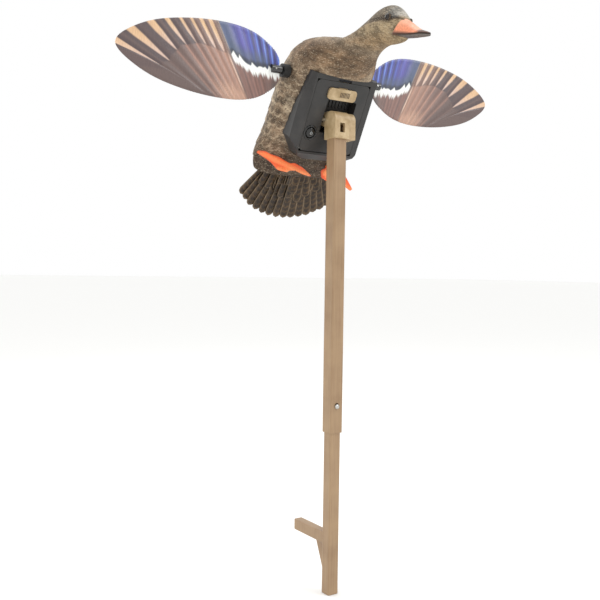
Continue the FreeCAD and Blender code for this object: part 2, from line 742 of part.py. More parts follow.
def body_shell():
    """One hollow moulding: body, neck, head and bill."""
    outside = Part.makeLoft([section(s) for s in BODY_STATIONS], True, False)
    bill = Part.makeLoft([section(s) for s in BILL_STATIONS], True, False)
    # the wall is measured across each section, so it is thicker where a section leans
    rings = [section(s, value("shell_wall * (1 + wall_per_lean * %d)" % s[2])) for s in BODY_STATIONS[1:9]]
    inside = Part.makeLoft(rings, True, False)
    moulding = solid_feature("moulding", outside.fuse(bill))
    hollow = solid_feature("hollow", inside)
    opening = plan("belly_opening", "-seat_gap", "-face_drop - 30", "face_drop + 30 - bay_roof")
    bore = rod("x", "-100", "200", "bush_radius")
    slot = solid_feature("tail_slot", fan(0.1))
    legs = [rod("z", "-40", "52", "leg_radius + 0.1", ("%d * leg_across" % sign, "leg_back"))
            for name, sign in sides()]
    return on_bird("body_shell", cut(moulding, hollow, opening, bore, slot, *legs))


def fan(gap=0.0):
    """Plate with a scalloped edge: an arc for the tip of each of its fifteen feathers."""
    count = 15
    spread = math.radians(57.0)
    root = value("tail_root")
    reach = value("tail_length")
    tips = []
    for number in range(count + 1):
        angle = spread * (2.0 * number / count - 1.0)
        tips.append(V(1.22 * reach * math.sin(angle), root + reach * math.cos(angle), 0))
    right = V(-value("tail_root_half"), root - 14, 0)
    left = V(-right.x, right.y, 0)
    edges = [Part.LineSegment(right, tips[0])]
    for first, second in zip(tips, tips[1:]):
        middle = (first + second) * 0.5
        out = (middle - V(0, root, 0)).normalize()
        edges.append(Part.Arc(first, middle + out * 3.2, second))
    edges += [Part.LineSegment(tips[-1], left), Part.LineSegment(left, right)]
    face = Part.Face(Part.Wire([edge.toShape() for edge in edges]))
    plate = face.extrude(V(0, 0, value("tail_thickness") + 2 * gap))
    plate.translate(V(0, 0, value("tail_rise - tail_thickness / 2") - gap))
    return plate


def tail_fan():
    """Fan of feathers moulded as one plate, its root held in a slot through the rump."""
    return on_bird("tail_fan", solid_feature("tail_plate", fan()))


# Outlines of the two webs, swept to the bird's right: x and place back from the shaft.
WEBS = {
    "right": ((-4, 127), (-17, 111), (-37, 107), (-57, 102), (-74, 100), (-90, 101), (-81, 109),
              (-60, 119), (-50, 126), (-25, 125)),
    "left": ((14, 119), (24, 112), (46, 113), (62, 128), (76, 142), (73, 145), (57, 137), (46, 139),
             (30, 134), (18, 129)),
}


def foot(side, sign):
    """Spread webbed foot below the rump, on a short leg plugged into the shell."""
    points = [("%d" % x, "leg_back + %d" % (y - 118)) for x, y in WEBS[side]]
    web = outline("web_" + side, "XY_Plane", points, "-foot_drop - foot_thickness", "foot_thickness")
    leg = rod("z", "-foot_drop - 0.5", "foot_drop + 8", "leg_radius", ("%d * leg_across" % sign, "leg_back"))
    return on_bird("foot_" + side, fuse(web, leg))


lower_tube()
foot_step()
step_gusset()
upper_tube()
snap_button()
snap_spring()
knuckle()
battery_lid()
tilt_pin()
latch()
power_button()
switch_board()
belly_housing()
catch_clip()
hinge_pin()
aa_cells()
cell_holder()
cell_contacts()
motor()
motor_saddle()
saddle_screws()
control_board()
drive_shaft()
for side, sign in sides():
    shaft_bush(side, sign)
    shaft_seal(side, sign)
    wing_hub(side, sign)
    wing_screw(side, sign)
    wing(side, sign)
    foot(side, sign)
body_shell()
tail_fan()

doc.recompute()
faults = [item.Name for item in doc.Objects if "Invalid" in item.State or "Error" in item.State]
faults += [item.Label for item in nodes if item.Shape.isNull() or not item.Shape.isValid()]
if faults:
    raise RuntimeError("not built: " + ", ".join(faults))

os.makedirs("parts", exist_ok=True)
for item in nodes:
    item.Shape.exportStep("parts/%s.step" % item.Label)
    print(item.Label, len(item.Shape.Solids), round(item.Shape.Volume))
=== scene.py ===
import math

import bmesh
import bpy
import numpy as np
from mathutils import Matrix, Vector


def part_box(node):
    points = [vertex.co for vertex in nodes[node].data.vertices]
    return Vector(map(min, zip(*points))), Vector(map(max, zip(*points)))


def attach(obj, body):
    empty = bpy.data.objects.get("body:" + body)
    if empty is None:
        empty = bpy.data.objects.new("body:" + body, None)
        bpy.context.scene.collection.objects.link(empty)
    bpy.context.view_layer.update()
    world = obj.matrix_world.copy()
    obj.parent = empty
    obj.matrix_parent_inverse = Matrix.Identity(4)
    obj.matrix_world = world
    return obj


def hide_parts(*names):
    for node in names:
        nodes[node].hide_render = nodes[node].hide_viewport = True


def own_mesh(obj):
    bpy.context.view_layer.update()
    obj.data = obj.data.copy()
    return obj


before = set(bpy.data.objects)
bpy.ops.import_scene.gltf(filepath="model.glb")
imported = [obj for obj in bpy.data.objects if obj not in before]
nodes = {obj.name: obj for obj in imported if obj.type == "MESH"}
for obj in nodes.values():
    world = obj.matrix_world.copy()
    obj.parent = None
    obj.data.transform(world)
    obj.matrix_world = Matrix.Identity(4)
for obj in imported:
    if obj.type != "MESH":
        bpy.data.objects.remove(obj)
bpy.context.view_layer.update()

# ------------------------------------------------------------------------------------------------
# Studio: a pale floor under the stake, four soft boxes round the bird, and a level camera that
# stands a metre off, a little above the middle of the pole, turned 33 degrees to the bird's right.

MM = 0.001


def linear(code):
    """sRGB hex to a linear colour with alpha: ((c + 0.055) / 1.055) ** 2.4 above 0.04045."""
    srgb = np.array([int(code[i:i + 2], 16) for i in (1, 3, 5)]) / 255.0
    low = srgb / 12.92
    high = ((srgb + 0.055) / 1.055) ** 2.4
    return tuple(float(c) for c in np.where(srgb > 0.04045, high, low)) + (1.0,)


def material(name, colour, **sockets):
    """A Principled material with its steady values set on the shader's own sockets."""
    made = bpy.data.materials.new(name)
    made.use_nodes = True
    shader = made.node_tree.nodes["Principled BSDF"]
    shader.inputs["Base Color"].default_value = linear(colour)
    for socket, setting in sockets.items():
        shader.inputs[socket.replace("_", " ").title().replace("Ior", "IOR")].default_value = setting
    return made, made.node_tree, shader


FLOOR_HALF = 40.0
CAMERA_PLACE = (-0.6155, -0.8582, 0.414)
CAMERA_TURN = math.radians(33.23)
CAMERA_ROLL = math.radians(0.889)
camera_data = bpy.data.cameras.new("studio_camera")
camera_data.lens = 49.11
camera_data.shift_y = -0.0487
camera = bpy.data.objects.new("studio_camera", camera_data)
bpy.context.scene.collection.objects.link(camera)
camera.matrix_world = (Matrix.Translation(CAMERA_PLACE) @ Matrix.Rotation(-CAMERA_TURN, 4, "Z")
                       @ Matrix.Rotation(math.radians(90), 4, "X") @ Matrix.Rotation(CAMERA_ROLL, 4, "Z"))
bpy.context.scene.camera = camera

floor_mesh = bpy.data.meshes.new("studio_floor")
floor_mesh.from_pydata([(x * FLOOR_HALF, y * FLOOR_HALF, 0) for x, y in ((-1, -1), (1, -1), (1, 1), (-1, 1))],
                       [], [(0, 1, 2, 3)])
floor = bpy.data.objects.new("studio_floor", floor_mesh)
bpy.context.scene.collection.objects.link(floor)
floor_mesh.transform(Matrix.Translation((0, 0, -0.5 * MM)))
floor_mesh.materials.append(material("matt_floor_paint", "#fafaf8", roughness=0.9)[0])


def lamp(name, place, size, power, aim=(0.0, 0.0, 0.6)):
    """A square soft box at a place, turned to face the bird."""
    data = bpy.data.lights.new(name, "AREA")
    data.shape = "SQUARE"
    data.size = size
    data.energy = power
    item = bpy.data.objects.new(name, data)
    bpy.context.scene.collection.objects.link(item)
    item.matrix_world = (Matrix.Translation(place)
                         @ (Vector(aim) - Vector(place)).to_track_quat("-Z", "Y").to_matrix().to_4x4())


lamp("key_light", (1.3, -1.6, 1.9), 1.2, 15)
lamp("fill_light", (-2.0, -1.0, 1.2), 1.6, 5)
lamp("top_light", (0.0, 0.4, 2.4), 1.5, 9)
lamp("back_light", (-0.6, 1.9, 1.5), 1.2, 9)

world = bpy.data.worlds.new("studio_air")
world.use_nodes = True
world.node_tree.nodes["Background"].inputs["Color"].default_value = (1.0, 1.0, 1.0, 1.0)
world.node_tree.nodes["Background"].inputs["Strength"].default_value = 1.0
bpy.context.scene.world = world
bpy.context.scene.view_settings.view_transform = "Standard"

# ------------------------------------------------------------------------------------------------
# Square pole: two sizes of steel tube that slide together, cut square and powder coated sand tan,
# with a bar and a gusset welded on as a foot step. The coat is thin, slightly dimpled and rubbed.


def add(tree, kind, inputs=None, stops=None, **settings):
    """Adds one shader node: settings by name, inputs by socket as a value or as a link."""
    item = tree.nodes.new("ShaderNode" + kind)
    for name, setting in settings.items():
        setattr(item, name, setting)
    for socket, source in (inputs or {}).items():
        if isinstance(source, bpy.types.NodeSocket):
            tree.links.new(source, item.inputs[socket])
        else:
            item.inputs[socket].default_value = source
    if stops:
        ramp = item.color_ramp
        while len(ramp.elements) < len(stops):
            ramp.elements.new(0.5)
        for element, (place, colour) in zip(ramp.elements, stops):
            element.position = place
            element.color = colour if len(colour) == 4 else tuple(colour) + (1.0,)
    return item


def powder_coat():
    """Sand-tan powder coat on steel: 0.7 mm orange peel, faint drawn streaks, cloudy tone."""
    made, tree, shader = material("sand_powder_coat", "#a98d6d", roughness=0.42, ior=1.5)
    place = add(tree, "TexCoord").outputs["Object"]
    drawn = add(tree, "Mapping", {"Vector": place, "Scale": (1.0, 1.0, 0.02)}).outputs["Vector"]
    streaks = add(tree, "TexNoise", {"Vector": drawn, "Scale": 1 / (1.6 * MM), "Detail": 3.0})
    clouds = add(tree, "TexNoise", {"Vector": place, "Scale": 1 / (38 * MM), "Detail": 4.0})
    tone = add(tree, "Mix", {0: 0.45, 2: clouds.outputs["Fac"], 3: streaks.outputs["Fac"]},
               data_type="FLOAT")
    paint = add(tree, "ValToRGB", {"Fac": tone.outputs[0]},
                stops=((0.34, linear("#8a6d4f")), (0.5, linear("#9b7f60")), (0.68, linear("#a88c6a"))))
    peel = add(tree, "TexNoise", {"Vector": place, "Scale": 1 / (0.7 * MM), "Detail": 2.0})
    dimple = add(tree, "Bump", {"Height": peel.outputs["Fac"], "Strength": 0.25, "Distance": 0.05 * MM})
    sheen = add(tree, "MapRange", {"Value": clouds.outputs["Fac"], "To Min": 0.36, "To Max": 0.5})
    tree.links.new(paint.outputs["Color"], shader.inputs["Base Color"])
    tree.links.new(sheen.outputs["Result"], shader.inputs["Roughness"])
    tree.links.new(dimple.outputs["Normal"], shader.inputs["Normal"])
    return made


def dress(material_made, *names):
    """Gives CAD nodes a material through their own slots."""
    for name in names:
        for place in nodes[name].material_slots:
            place.material = material_made


tube_coat = powder_coat()
dress(tube_coat, "lower_tube", "upper_tube", "foot_step", "step_gusset")


def zinc_plate():
    """Bright zinc on steel: metal with a faint cloudy chromate and fine rubbed lines."""
    made, tree, shader = material("bright_zinc", "#c9c8c4", metallic=1.0, roughness=0.28)
    place = add(tree, "TexCoord").outputs["Object"]
    clouds = add(tree, "TexNoise", {"Vector": place, "Scale": 1 / (2.5 * MM), "Detail": 3.0})
    paint = add(tree, "ValToRGB", {"Fac": clouds.outputs["Fac"]},
                stops=((0.35, linear("#b5b4ae")), (0.65, linear("#d6d6d4"))))
    worn = add(tree, "MapRange", {"Value": clouds.outputs["Fac"], "To Min": 0.2, "To Max": 0.42})
    tree.links.new(paint.outputs["Color"], shader.inputs["Base Color"])
    tree.links.new(worn.outputs["Result"], shader.inputs["Roughness"])
    return made


zinc = zinc_plate()
dress(zinc, "snap_spring", "tilt_pin", "hinge_pin", "saddle_screws", "wing_screw_right",
      "wing_screw_left")

# ------------------------------------------------------------------------------------------------
# Knuckle and latch: glass-filled nylon moulded in tan, satin from the tool. The knuckle is a socket
# over the pole's end with a stem that carries the tilt pin; the latch slides in the lid's front.


def moulded_nylon():
    """Tan nylon: fine 0.4 mm spark texture and slightly darker flow clouds."""
    made, tree, shader = material("tan_nylon", "#b49c77", roughness=0.45, ior=1.53)
    place = add(tree, "TexCoord").outputs["Object"]
    clouds = add(tree, "TexNoise", {"Vector": place, "Scale": 1 / (9 * MM), "Detail": 5.0})
    paint = add(tree, "ValToRGB", {"Fac": clouds.outputs["Fac"]},
                stops=((0.32, linear("#a08760")), (0.55, linear("#b79f79")), (0.72, linear("#c6b08b"))))
    grain = add(tree, "TexNoise", {"Vector": place, "Scale": 1 / (0.4 * MM), "Detail": 2.0})
    dimple = add(tree, "Bump", {"Height": grain.outputs["Fac"], "Strength": 0.3, "Distance": 0.04 * MM})
    tree.links.new(paint.outputs["Color"], shader.inputs["Base Color"])
    tree.links.new(dimple.outputs["Normal"], shader.inputs["Normal"])
    return made


tan_nylon = moulded_nylon()
dress(tan_nylon, "knuckle", "latch")

# ------------------------------------------------------------------------------------------------
# Belly housing and lid: charcoal ABS, injection moulded with a satin leathery texture; the lid
# closes the battery bay and has the deep well that the knuckle stands in.


def moulded_abs():
    """Charcoal ABS: 0.5 mm leathery tool texture, dusty tone in broad clouds."""
    made, tree, shader = material("charcoal_abs", "#33312f", roughness=0.5, ior=1.53)
    place = add(tree, "TexCoord").outputs["Object"]
    clouds = add(tree, "TexNoise", {"Vector": place, "Scale": 1 / (24 * MM), "Detail": 5.0})
    paint = add(tree, "ValToRGB", {"Fac": clouds.outputs["Fac"]},
                stops=((0.35, linear("#232221")), (0.55, linear("#2c2a29")), (0.75, linear("#383532"))))
    grain = add(tree, "TexVoronoi", {"Vector": place, "Scale": 1 / (0.5 * MM)})
    dimple = add(tree, "Bump", {"Height": grain.outputs["Distance"], "Strength": 0.3,
                                "Distance": 0.05 * MM})
    tree.links.new(paint.outputs["Color"], shader.inputs["Base Color"])
    tree.links.new(dimple.outputs["Normal"], shader.inputs["Normal"])
    return made


charcoal = moulded_abs()
dress(charcoal, "belly_housing", "battery_lid")

# ------------------------------------------------------------------------------------------------
# Wings: two blades of spring-flat printed plastic sheet, cut to a long leaf and clamped in the
# hubs. The face is printed with a duck's flight feathers, the back is left pale.

SHAFT = np.array((0.0, 23.392, 667.707)) * MM
ROOT = 74.2
REACH = 215.8
BLADE = 1.5
SCREW_BACK = 7.0
SCREW_ROOM = 2.5
RELIEF = 0.12
# The printed feathers lean by a first angle at the root and by more towards the tip, in degrees.
LEAN_AT_ROOT = 7.0
LEAN_GAIN = 64.0
# The blue patch ends at this share of the reach; its folds are this far apart in millimetres.
PATCH_END = 0.3
FOLD = 8.4


def surface(name, rings, colours=None, uv=None):
    """Closed surfaces through stacks of closed rings, one quad between each four neighbours.

    rings is (copies, rings, around, 3) in metres. The two end rings of a stack are drawn together
    on their middle points, and coincident points are welded, which closes the ends."""
    rings = rings if rings.ndim == 4 else rings[None]
    ends = [rings[:, [k]].mean(axis=2, keepdims=True).repeat(rings.shape[2], axis=2) for k in (0, -1)]
    rings = np.concatenate((ends[0], rings, ends[1]), axis=1)
    copies, count, around = rings.shape[:3]
    index = np.arange(copies * count * around).reshape(copies, count, around)
    beside = np.roll(index, -1, axis=2)
    quads = np.stack((index[:, :-1], beside[:, :-1], beside[:, 1:], index[:, 1:]), axis=-1).reshape(-1, 4)
    mesh = bpy.data.meshes.new(name)
    mesh.from_pydata(rings.reshape(-1, 3).tolist(), [], quads.tolist())
    if colours is not None:
        colours = colours if colours.ndim == 4 else colours[None]
        padded = np.concatenate((colours[:, :1], colours, colours[:, -1:]), axis=1).reshape(-1, 3)
        layer = mesh.color_attributes.new("print", "FLOAT_COLOR", "POINT")
        rgba = np.column_stack((padded, np.ones(len(padded)))).astype(np.float32)
        layer.data.foreach_set("color", rgba.ravel())
    if uv is not None:
        uv = np.concatenate((uv[:1], uv, uv[-1:]), axis=0)
        corners = np.stack((uv[:-1, :-1], uv[:-1, 1:], uv[1:, 1:], uv[1:, :-1]), axis=2)
        mesh.uv_layers.new(name="rows").data.foreach_set("uv", corners.ravel())
    work = bmesh.new()
    work.from_mesh(mesh)
    bmesh.ops.remove_doubles(work, verts=work.verts, dist=1e-6)
    bmesh.ops.recalc_face_normals(work, faces=work.faces)
    work.to_mesh(mesh)
    work.free()
    mesh.polygons.foreach_set("use_smooth", np.ones(len(mesh.polygons), bool))
    item = bpy.data.objects.new(name, mesh)
    bpy.context.scene.collection.objects.link(item)
    return item


def ease(low, high, place):
    """Smooth step from 0 at low to 1 at high: 3 t squared less 2 t cubed."""
    t = np.clip((place - low) / (high - low), 0, 1)
    return t * t * (3 - 2 * t)


def lay(base, code, weight):
    """Lays a flat colour over the base colours by a weight from 0 to 1."""
    return base + (np.array(linear(code)[:3]) - base) * np.clip(weight, 0, 1)[..., None]


def ragged(place, step, seed):
    """A seeded zigzag from 0 to 1: random heights every step millimetres, joined by straight lines."""
    heights = np.random.default_rng(seed).random(400)
    return np.interp(place / step + 200, np.arange(400), heights)


def wing_print(x, z):
    """Feather print at x out from the root and z above the mid-chord, in millimetres.

    Every feather is a straight line x = along + z tan(first lean + gain a) with a = along / reach,
    so the feathers fan out towards the tip. a is found by Newton steps, then each band of the print
    is a step across a, across z, or across the distance from the nearest cream feather."""
    a = np.clip(x / REACH, 0, 1)
    for _ in range(14):
        lean = np.radians(LEAN_AT_ROOT + LEAN_GAIN * np.clip(a, -0.1, 1.1))
        slope = REACH + z * np.radians(LEAN_GAIN) / np.cos(lean) ** 2
        a = np.clip(a - 0.7 * (a * REACH + z * np.tan(lean) - x) / np.maximum(slope, 60), -0.1, 1.12)
    bars = np.array((0.0, 0.293, 0.34, 0.385, 0.433, 0.485, 0.556, 0.644, 0.783, 0.977, 1.12))
    number = np.interp(a, bars, (-5, 0, 1, 2, 3, 4, 5, 6, 7, 8, 8.45))
    phase = number - np.round(number)
    covert = np.interp(a, (0.3, 0.38, 0.46, 0.52, 0.58, 0.644, 0.783, 0.977, 1.1),
                       (6, 11, 13, 12, 8, 1, -13, -20, -24)) + 2.0 * ragged(a * 90, 3.3, 3)
    up = z - covert
    half = np.interp(number, (1, 2, 3, 4, 5, 6, 9), (0.22, 0.2, 0.14, 0.12, 0.15, 0.19, 0.2))
    taper = np.clip(up / np.interp(a, (0.4, 0.7), (9, 22)), 0, 1) ** 0.6
    streak = ragged(number * 9, 1.0, 5)
    thread = ragged(number * 31, 1.0, 7)

    tone = lay(np.zeros(x.shape + (3,)), "#493839", np.ones(x.shape))
    tone = lay(tone, "#6b544d", 0.75 * streak * ease(0.3, 0.5, np.abs(phase)))
    tone = lay(tone, "#8c6b5b", 0.85 * ease(0.52, 0.36, a) * (0.4 + 0.6 * thread))
    cream = lay(lay(tone, "#dfba8e", np.ones(x.shape)), "#dcc2b6", 0.9 * ease(26, 4, up))
    cream = lay(cream, "#b08468", 0.45 * thread)
    bar = ease(0.045, -0.045, np.abs(phase + 0.05 * (1 - taper)) - half * taper) * ease(-0.5, 0.5, up)
    tone = tone + (cream - tone) * bar[..., None]

    down = ease(1.0, -1.0, up)
    rosy = lay(tone, "#8f6e61", np.ones(x.shape))
    rosy = lay(rosy, "#6b524b", 0.7 * ease(-16, 8, z) * ease(0.34, 0.44, a))
    rosy = lay(rosy, "#5f4b46", 0.95 * ease(0.54, 0.72, a) + 0.4 * ease(0.15, 0.35, np.abs(phase)))
    rosy = lay(rosy, "#b98b79", 0.75 * ease(0.12, 0.03, np.abs(phase)) * ease(0.85, 0.5, a))
    rosy = lay(rosy, "#d7ab93", 0.55 * streak * ease(-30, -38, z + 10 * np.abs(a - 0.4)) * ease(0.7, 0.5, a))
    rosy = lay(rosy, "#b58a74", 0.6 * ease(0.30, 0.34, a) * ease(0.5, 0.4, a) * (0.4 + 0.6 * thread))
    # Painted highlight: lighter streaks along the lower edge in the blade's middle, broken by the print's
    # threads.
    rosy = lay(rosy, "#c9a187", 0.75 * ease(-20, -34, z) * ease(0.28, 0.4, a) * ease(0.62, 0.5, a) * thread)
    rosy = lay(rosy, "#574541", 0.4 * thread * ease(0.5, 0.62, a))
    tone = tone + (rosy - tone) * down[..., None]

    inner = a * REACH
    folds = inner / FOLD + 0.18
    fold = folds - np.floor(folds)
    blue = lay(tone, "#3c3f92", np.ones(x.shape))
    blue = lay(blue, "#20275c", 0.95 * ease(0.56, 0.74, fold) * ease(1.0, 0.9, fold))
    blue = lay(blue, "#6488dc", 0.9 * ease(0.05, 0.2, fold) * ease(0.42, 0.26, fold) * ease(54, 12, inner))
    blue = lay(blue, "#5a53a6", 0.7 * ease(0.05, 0.3, fold) * ease(26, 46, inner))
    blue = lay(blue, "#4c5a70", 0.85 * ease(0.2, 0.275, a))
    edge = np.interp(inner, (0, 22, 40, 52, 62), (-1, -1.5, -1.0, 4, 9))
    tooth = 7.0 * ragged(inner, 3.0, 11) ** 1.6
    blue = lay(blue, "#46546c", 0.75 * ease(24, 9, z - edge) * ease(8, 22, inner))
    blue = lay(blue, "#1d232c", 0.8 * ease(8, 2.5, z - edge - 0.4 * tooth))
    low = lay(tone, "#7b5b52", np.ones(x.shape))
    low = lay(low, "#a77c70", 0.75 * ragged(inner, 2.6, 17))
    low = lay(low, "#4e3c39", 0.9 * ragged(inner + 3, 3.4, 19) ** 1.5)
    low = lay(low, "#5b5250", 0.8 * ease(34, 10, inner) * ease(-8, -22, z))
    white = lay(low, "#eef0ec", ease(-8.5, -3.0, z - edge + 8.0 * ragged(inner, 1.7, 23)))
    inside = white + (blue - white) * ease(-0.8, 0.8, z - edge - tooth + 1.5)[..., None]
    tone = tone + (inside - tone) * ease(PATCH_END + 0.0025, PATCH_END - 0.0025, a)[..., None]
    line = ease(0.006, 0.002, np.abs(a - 0.318)) * ease(12, -4, np.abs(z + 12) - 14)
    tone = lay(tone, "#e7c9b4", 0.85 * line)
    return lay(tone, "#3c3638", 0.5 * ease(0.008, 0.003, np.abs(a - 0.304))), number


def leaf_edge():
    """Half the blade's height at each place along it, read from the modelled blade's own rim: the
    points round the screw's hole are left out, then the height rises to its greatest and falls."""
    mesh = nodes["wing_right"].data
    points = np.empty(len(mesh.vertices) * 3)
    mesh.vertices.foreach_get("co", points)
    points = (points.reshape(-1, 3) - SHAFT) / MM
    along, high = np.abs(points[:, 0]) - ROOT, np.abs(points[:, 2])
    rim = np.hypot(along - SCREW_BACK, high) > SCREW_ROOM
    order = np.argsort(along[rim])
    along, high = along[rim][order], high[rim][order]
    widest = high.argmax()
    rising = np.maximum.accumulate(high[:widest])
    falling = np.maximum.accumulate(high[:widest - 1:-1])[::-1]
    return along, np.concatenate((rising, falling))


def shaded(tree, shade):
    """The print at each corner multiplied by a shade; gives the socket of the result."""
    ink = add(tree, "VertexColor", layer_name="print").outputs["Color"]
    return add(tree, "Mix", {0: 1.0, 6: ink, 7: shade.outputs["Result"]}, data_type="RGBA",
               blend_type="MULTIPLY").outputs[2]


def printed_sheet():
    """Printed PETG sheet: satin ink over fine barbs 0.8 mm apart, with a hard clear gloss."""
    made, tree, shader = material("printed_petg_sheet", "#8d6b61", roughness=0.34, ior=1.57,
                                  coat_weight=0.35, coat_roughness=0.16)
    place = add(tree, "TexCoord").outputs["Object"]
    barbs = add(tree, "Mapping", {"Vector": place, "Rotation": (0.0, math.radians(35), 0.0),
                                  "Scale": (1.0, 1.0, 0.12)}).outputs["Vector"]
    lines = add(tree, "TexNoise", {"Vector": barbs, "Scale": 1 / (0.8 * MM), "Detail": 2.0})
    shade = add(tree, "MapRange", {"Value": lines.outputs["Fac"], "From Min": 0.25, "From Max": 0.75,
                                   "To Min": 0.86, "To Max": 1.12})
    relief = add(tree, "Bump", {"Height": lines.outputs["Fac"], "Strength": 0.3, "Distance": 0.05 * MM})
    tree.links.new(shaded(tree, shade), shader.inputs["Base Color"])
    tree.links.new(relief.outputs["Normal"], shader.inputs["Normal"])
    return made


def blade():
    """Points of one blade and their print: rings round the blade at cosine steps from root to tip.

    x is along the reach, z the rim's height times a share from 1 to -1 and back, and y half the
    sheet's thickness, pressed in by a cosine along every feather; the rear face is left pale."""
    out = (1 - np.cos(np.linspace(0, math.pi, 330))) / 2
    face = np.linspace(1, -1, 118)
    rear = np.linspace(-1, 1, 26)[1:-1]
    share = np.concatenate((face, rear))
    front = np.concatenate((np.ones(len(face)), -np.ones(len(rear))))
    half_high = np.interp(out * REACH, *leaf_edge())
    half_high[[0, -1]] = 0
    half_high = half_high[:, None]
    x = np.broadcast_to((out * REACH)[:, None], (len(out), len(share)))
    z = half_high * share
    ink, number = wing_print(x, z)
    pale = lay(ink * 0, "#dedad2", np.ones(x.shape))
    pale = lay(pale, "#b9b2a6", 0.5 * ease(0.12, 0.02, np.abs(number - np.round(number))))
    ink = np.where(front[None, :, None] > 0, ink, pale)
    rounded = np.sqrt(1 - np.abs(share) ** 40) * np.minimum(half_high, 1)
    pressed = RELIEF * (1 + np.cos(2 * math.pi * number)) * ease(0, 8, half_high * (1 - np.abs(share)))
    y = -front * (BLADE / 2 * rounded - pressed * ease(6, 20, x))
    return x, y, z, ink


sheet_print = printed_sheet()
x, y, z, ink = blade()
for side, sign in (("right", -1), ("left", 1)):
    points = np.stack((sign * (x + ROOT), y, z), axis=-1) * MM + SHAFT
    wing = surface("wing_sheet_" + side, points, colours=ink)
    wing.data.materials.append(sheet_print)
    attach(wing, "rotor")
    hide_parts("wing_" + side)

# ------------------------------------------------------------------------------------------------
# Body: one blow-moulded polyethylene shell, its feathers in relief from the mould, painted by
# hand as a hen: speckled neck, scalloped back and flanks, a dark line through the eye.

BIRD_PITCH = math.radians(62.6)
BACK = np.array((0.0, math.cos(BIRD_PITCH), -math.sin(BIRD_PITCH)))
UP = np.array((0.0, -BACK[2], BACK[1]))
HALF_WIDTH = 63.0
HALF_HEIGHT = 50.0
WALL = 2.2
# Sections from rump to face: place back, place up, lean forward in degrees, then half width,
# rise and drop as shares of the body's half width and half height.
SECTIONS = np.array((
    (143, 12, 0, 0.70, 0.08, 0.08), (140, 12.3, 0, 0.95, 0.24, 0.20), (132, 13, 0, 1.07, 0.42, 0.32),
    (113, 15, 0, 1.09, 0.70, 0.54), (82, 16, 0, 0.97, 0.86, 0.88), (48, 11, 2, 0.97, 0.96, 0.98),
    (12, 4, 10, 0.97, 1.06, 1.00), (-14, -5, 28, 0.92, 0.98, 0.94), (-34, -24, 48, 0.78, 0.54, 0.84),
    (-49, -44, 58, 0.54, 0.30, 0.60), (-64, -60, 60, 0.39, 0.26, 0.48), (-79, -75, 64, 0.33, 0.31, 0.46),
    (-90, -90, 66, 0.315, 0.42, 0.46), (-96, -106, 66, 0.295, 0.44, 0.45), (-98, -119, 66, 0.225, 0.31, 0.37),
    (-99, -126, 66, 0.13, 0.16, 0.22), (-99, -128.5, 66, 0.05, 0.05, 0.08)))


def bird(points):
    """Turns x across, y back and z up of the level bird, in millimetres, into the frame."""
    x, y, z = np.moveaxis(np.asarray(points, float), -1, 0)
    return SHAFT + MM * (x[..., None] * np.array((1.0, 0, 0)) + y[..., None] * BACK + z[..., None] * UP)


def through(knots, places):
    """Smooth curve through rows of numbers: cubic Hermite spans between neighbours, whose slope at
    each row is half the step from the row before it to the row after it."""
    knots = np.asarray(knots, float)
    slopes = np.gradient(knots, axis=0)
    low = np.minimum(places.astype(int), len(knots) - 2)
    t = (places - low).reshape((-1,) + (1,) * (knots.ndim - 1))
    return ((1 + 2 * t) * (1 - t) ** 2 * knots[low] + t * (1 - t) ** 2 * slopes[low]
            + t * t * (3 - 2 * t) * knots[low + 1] + t * t * (t - 1) * slopes[low + 1])


def sections(rows, count, around, thinner=0.0):
    """Rings of two half ellipses, x = w cos q and height = sin q times rise or drop, from the belly
    round; with each ring's arc length from the top and its distance from the face along the back."""
    rows = through(rows, np.linspace(0, len(rows) - 1, count))
    turn = np.radians(np.linspace(-90, 270, around + 1))[:-1]
    half = rows[:, 3:4] * HALF_WIDTH - thinner
    tall = np.where(np.sin(turn) > 0, rows[:, 4:5], rows[:, 5:6]) * HALF_HEIGHT - thinner
    high = np.sin(turn) * tall
    lean = np.radians(rows[:, 2:3])
    points = np.stack((np.cos(turn) * half, rows[:, :1] - high * np.sin(lean),
                       rows[:, 1:2] + high * np.cos(lean)), axis=-1)
    steps = np.linalg.norm(np.diff(rows[:, :2], axis=0), axis=1)
    along = steps.sum() - np.concatenate(((0,), np.cumsum(steps)))
    girth = math.pi / 2 * (half[:, 0] + tall.mean(axis=1))
    across = np.linspace(-1, 1, around + 1) * girth[:, None]
    return points, along, across


def shingles(row, column):
    """Overlapping round-tipped feathers, one per unit of row and column, tips towards the tail.

    A feather of row k covers k to k + 1.6 and every second row is set half a column over. Of the
    two that can cover a point the forward one lies on top where the point is inside its outline,
    a stadium whose tip is half an ellipse. Gives height, distance in from the edge and a tint."""
    results = []
    for k in (np.floor(row) - 1, np.floor(row)):
        shift = 0.5 * (k % 2)
        middle = np.round(column - shift) + shift
        tip = np.maximum(0, (row - k - 0.65) / 0.95)
        inside = 1 - np.hypot(tip, (column - middle) / 0.64)
        tint = np.modf(np.abs(np.sin(k * 12.9898 + middle * 78.233) * 43758.5453))[0]
        results.append((row - k, inside, tint, column - middle))
    top = results[0][1] > 0
    return [np.where(top, first, second) for first, second in zip(*results)]


def feather_rows(along, across):
    """Row and column numbers: the pitch grows from 3.2 mm on the face to 16 mm on the rump."""
    fine = np.linspace(-10, 330, 1000)
    pitch = np.interp(fine, (0, 45, 85, 130, 190, 300), (3.2, 3.6, 6, 12, 14, 16))
    rows = np.concatenate(((0,), np.cumsum(np.diff(fine) / pitch[1:])))
    row = np.interp(along, fine, rows)
    wide = np.interp(along, fine, pitch) * 0.95
    return np.broadcast_to(row[:, None], across.shape), across / wide[:, None]


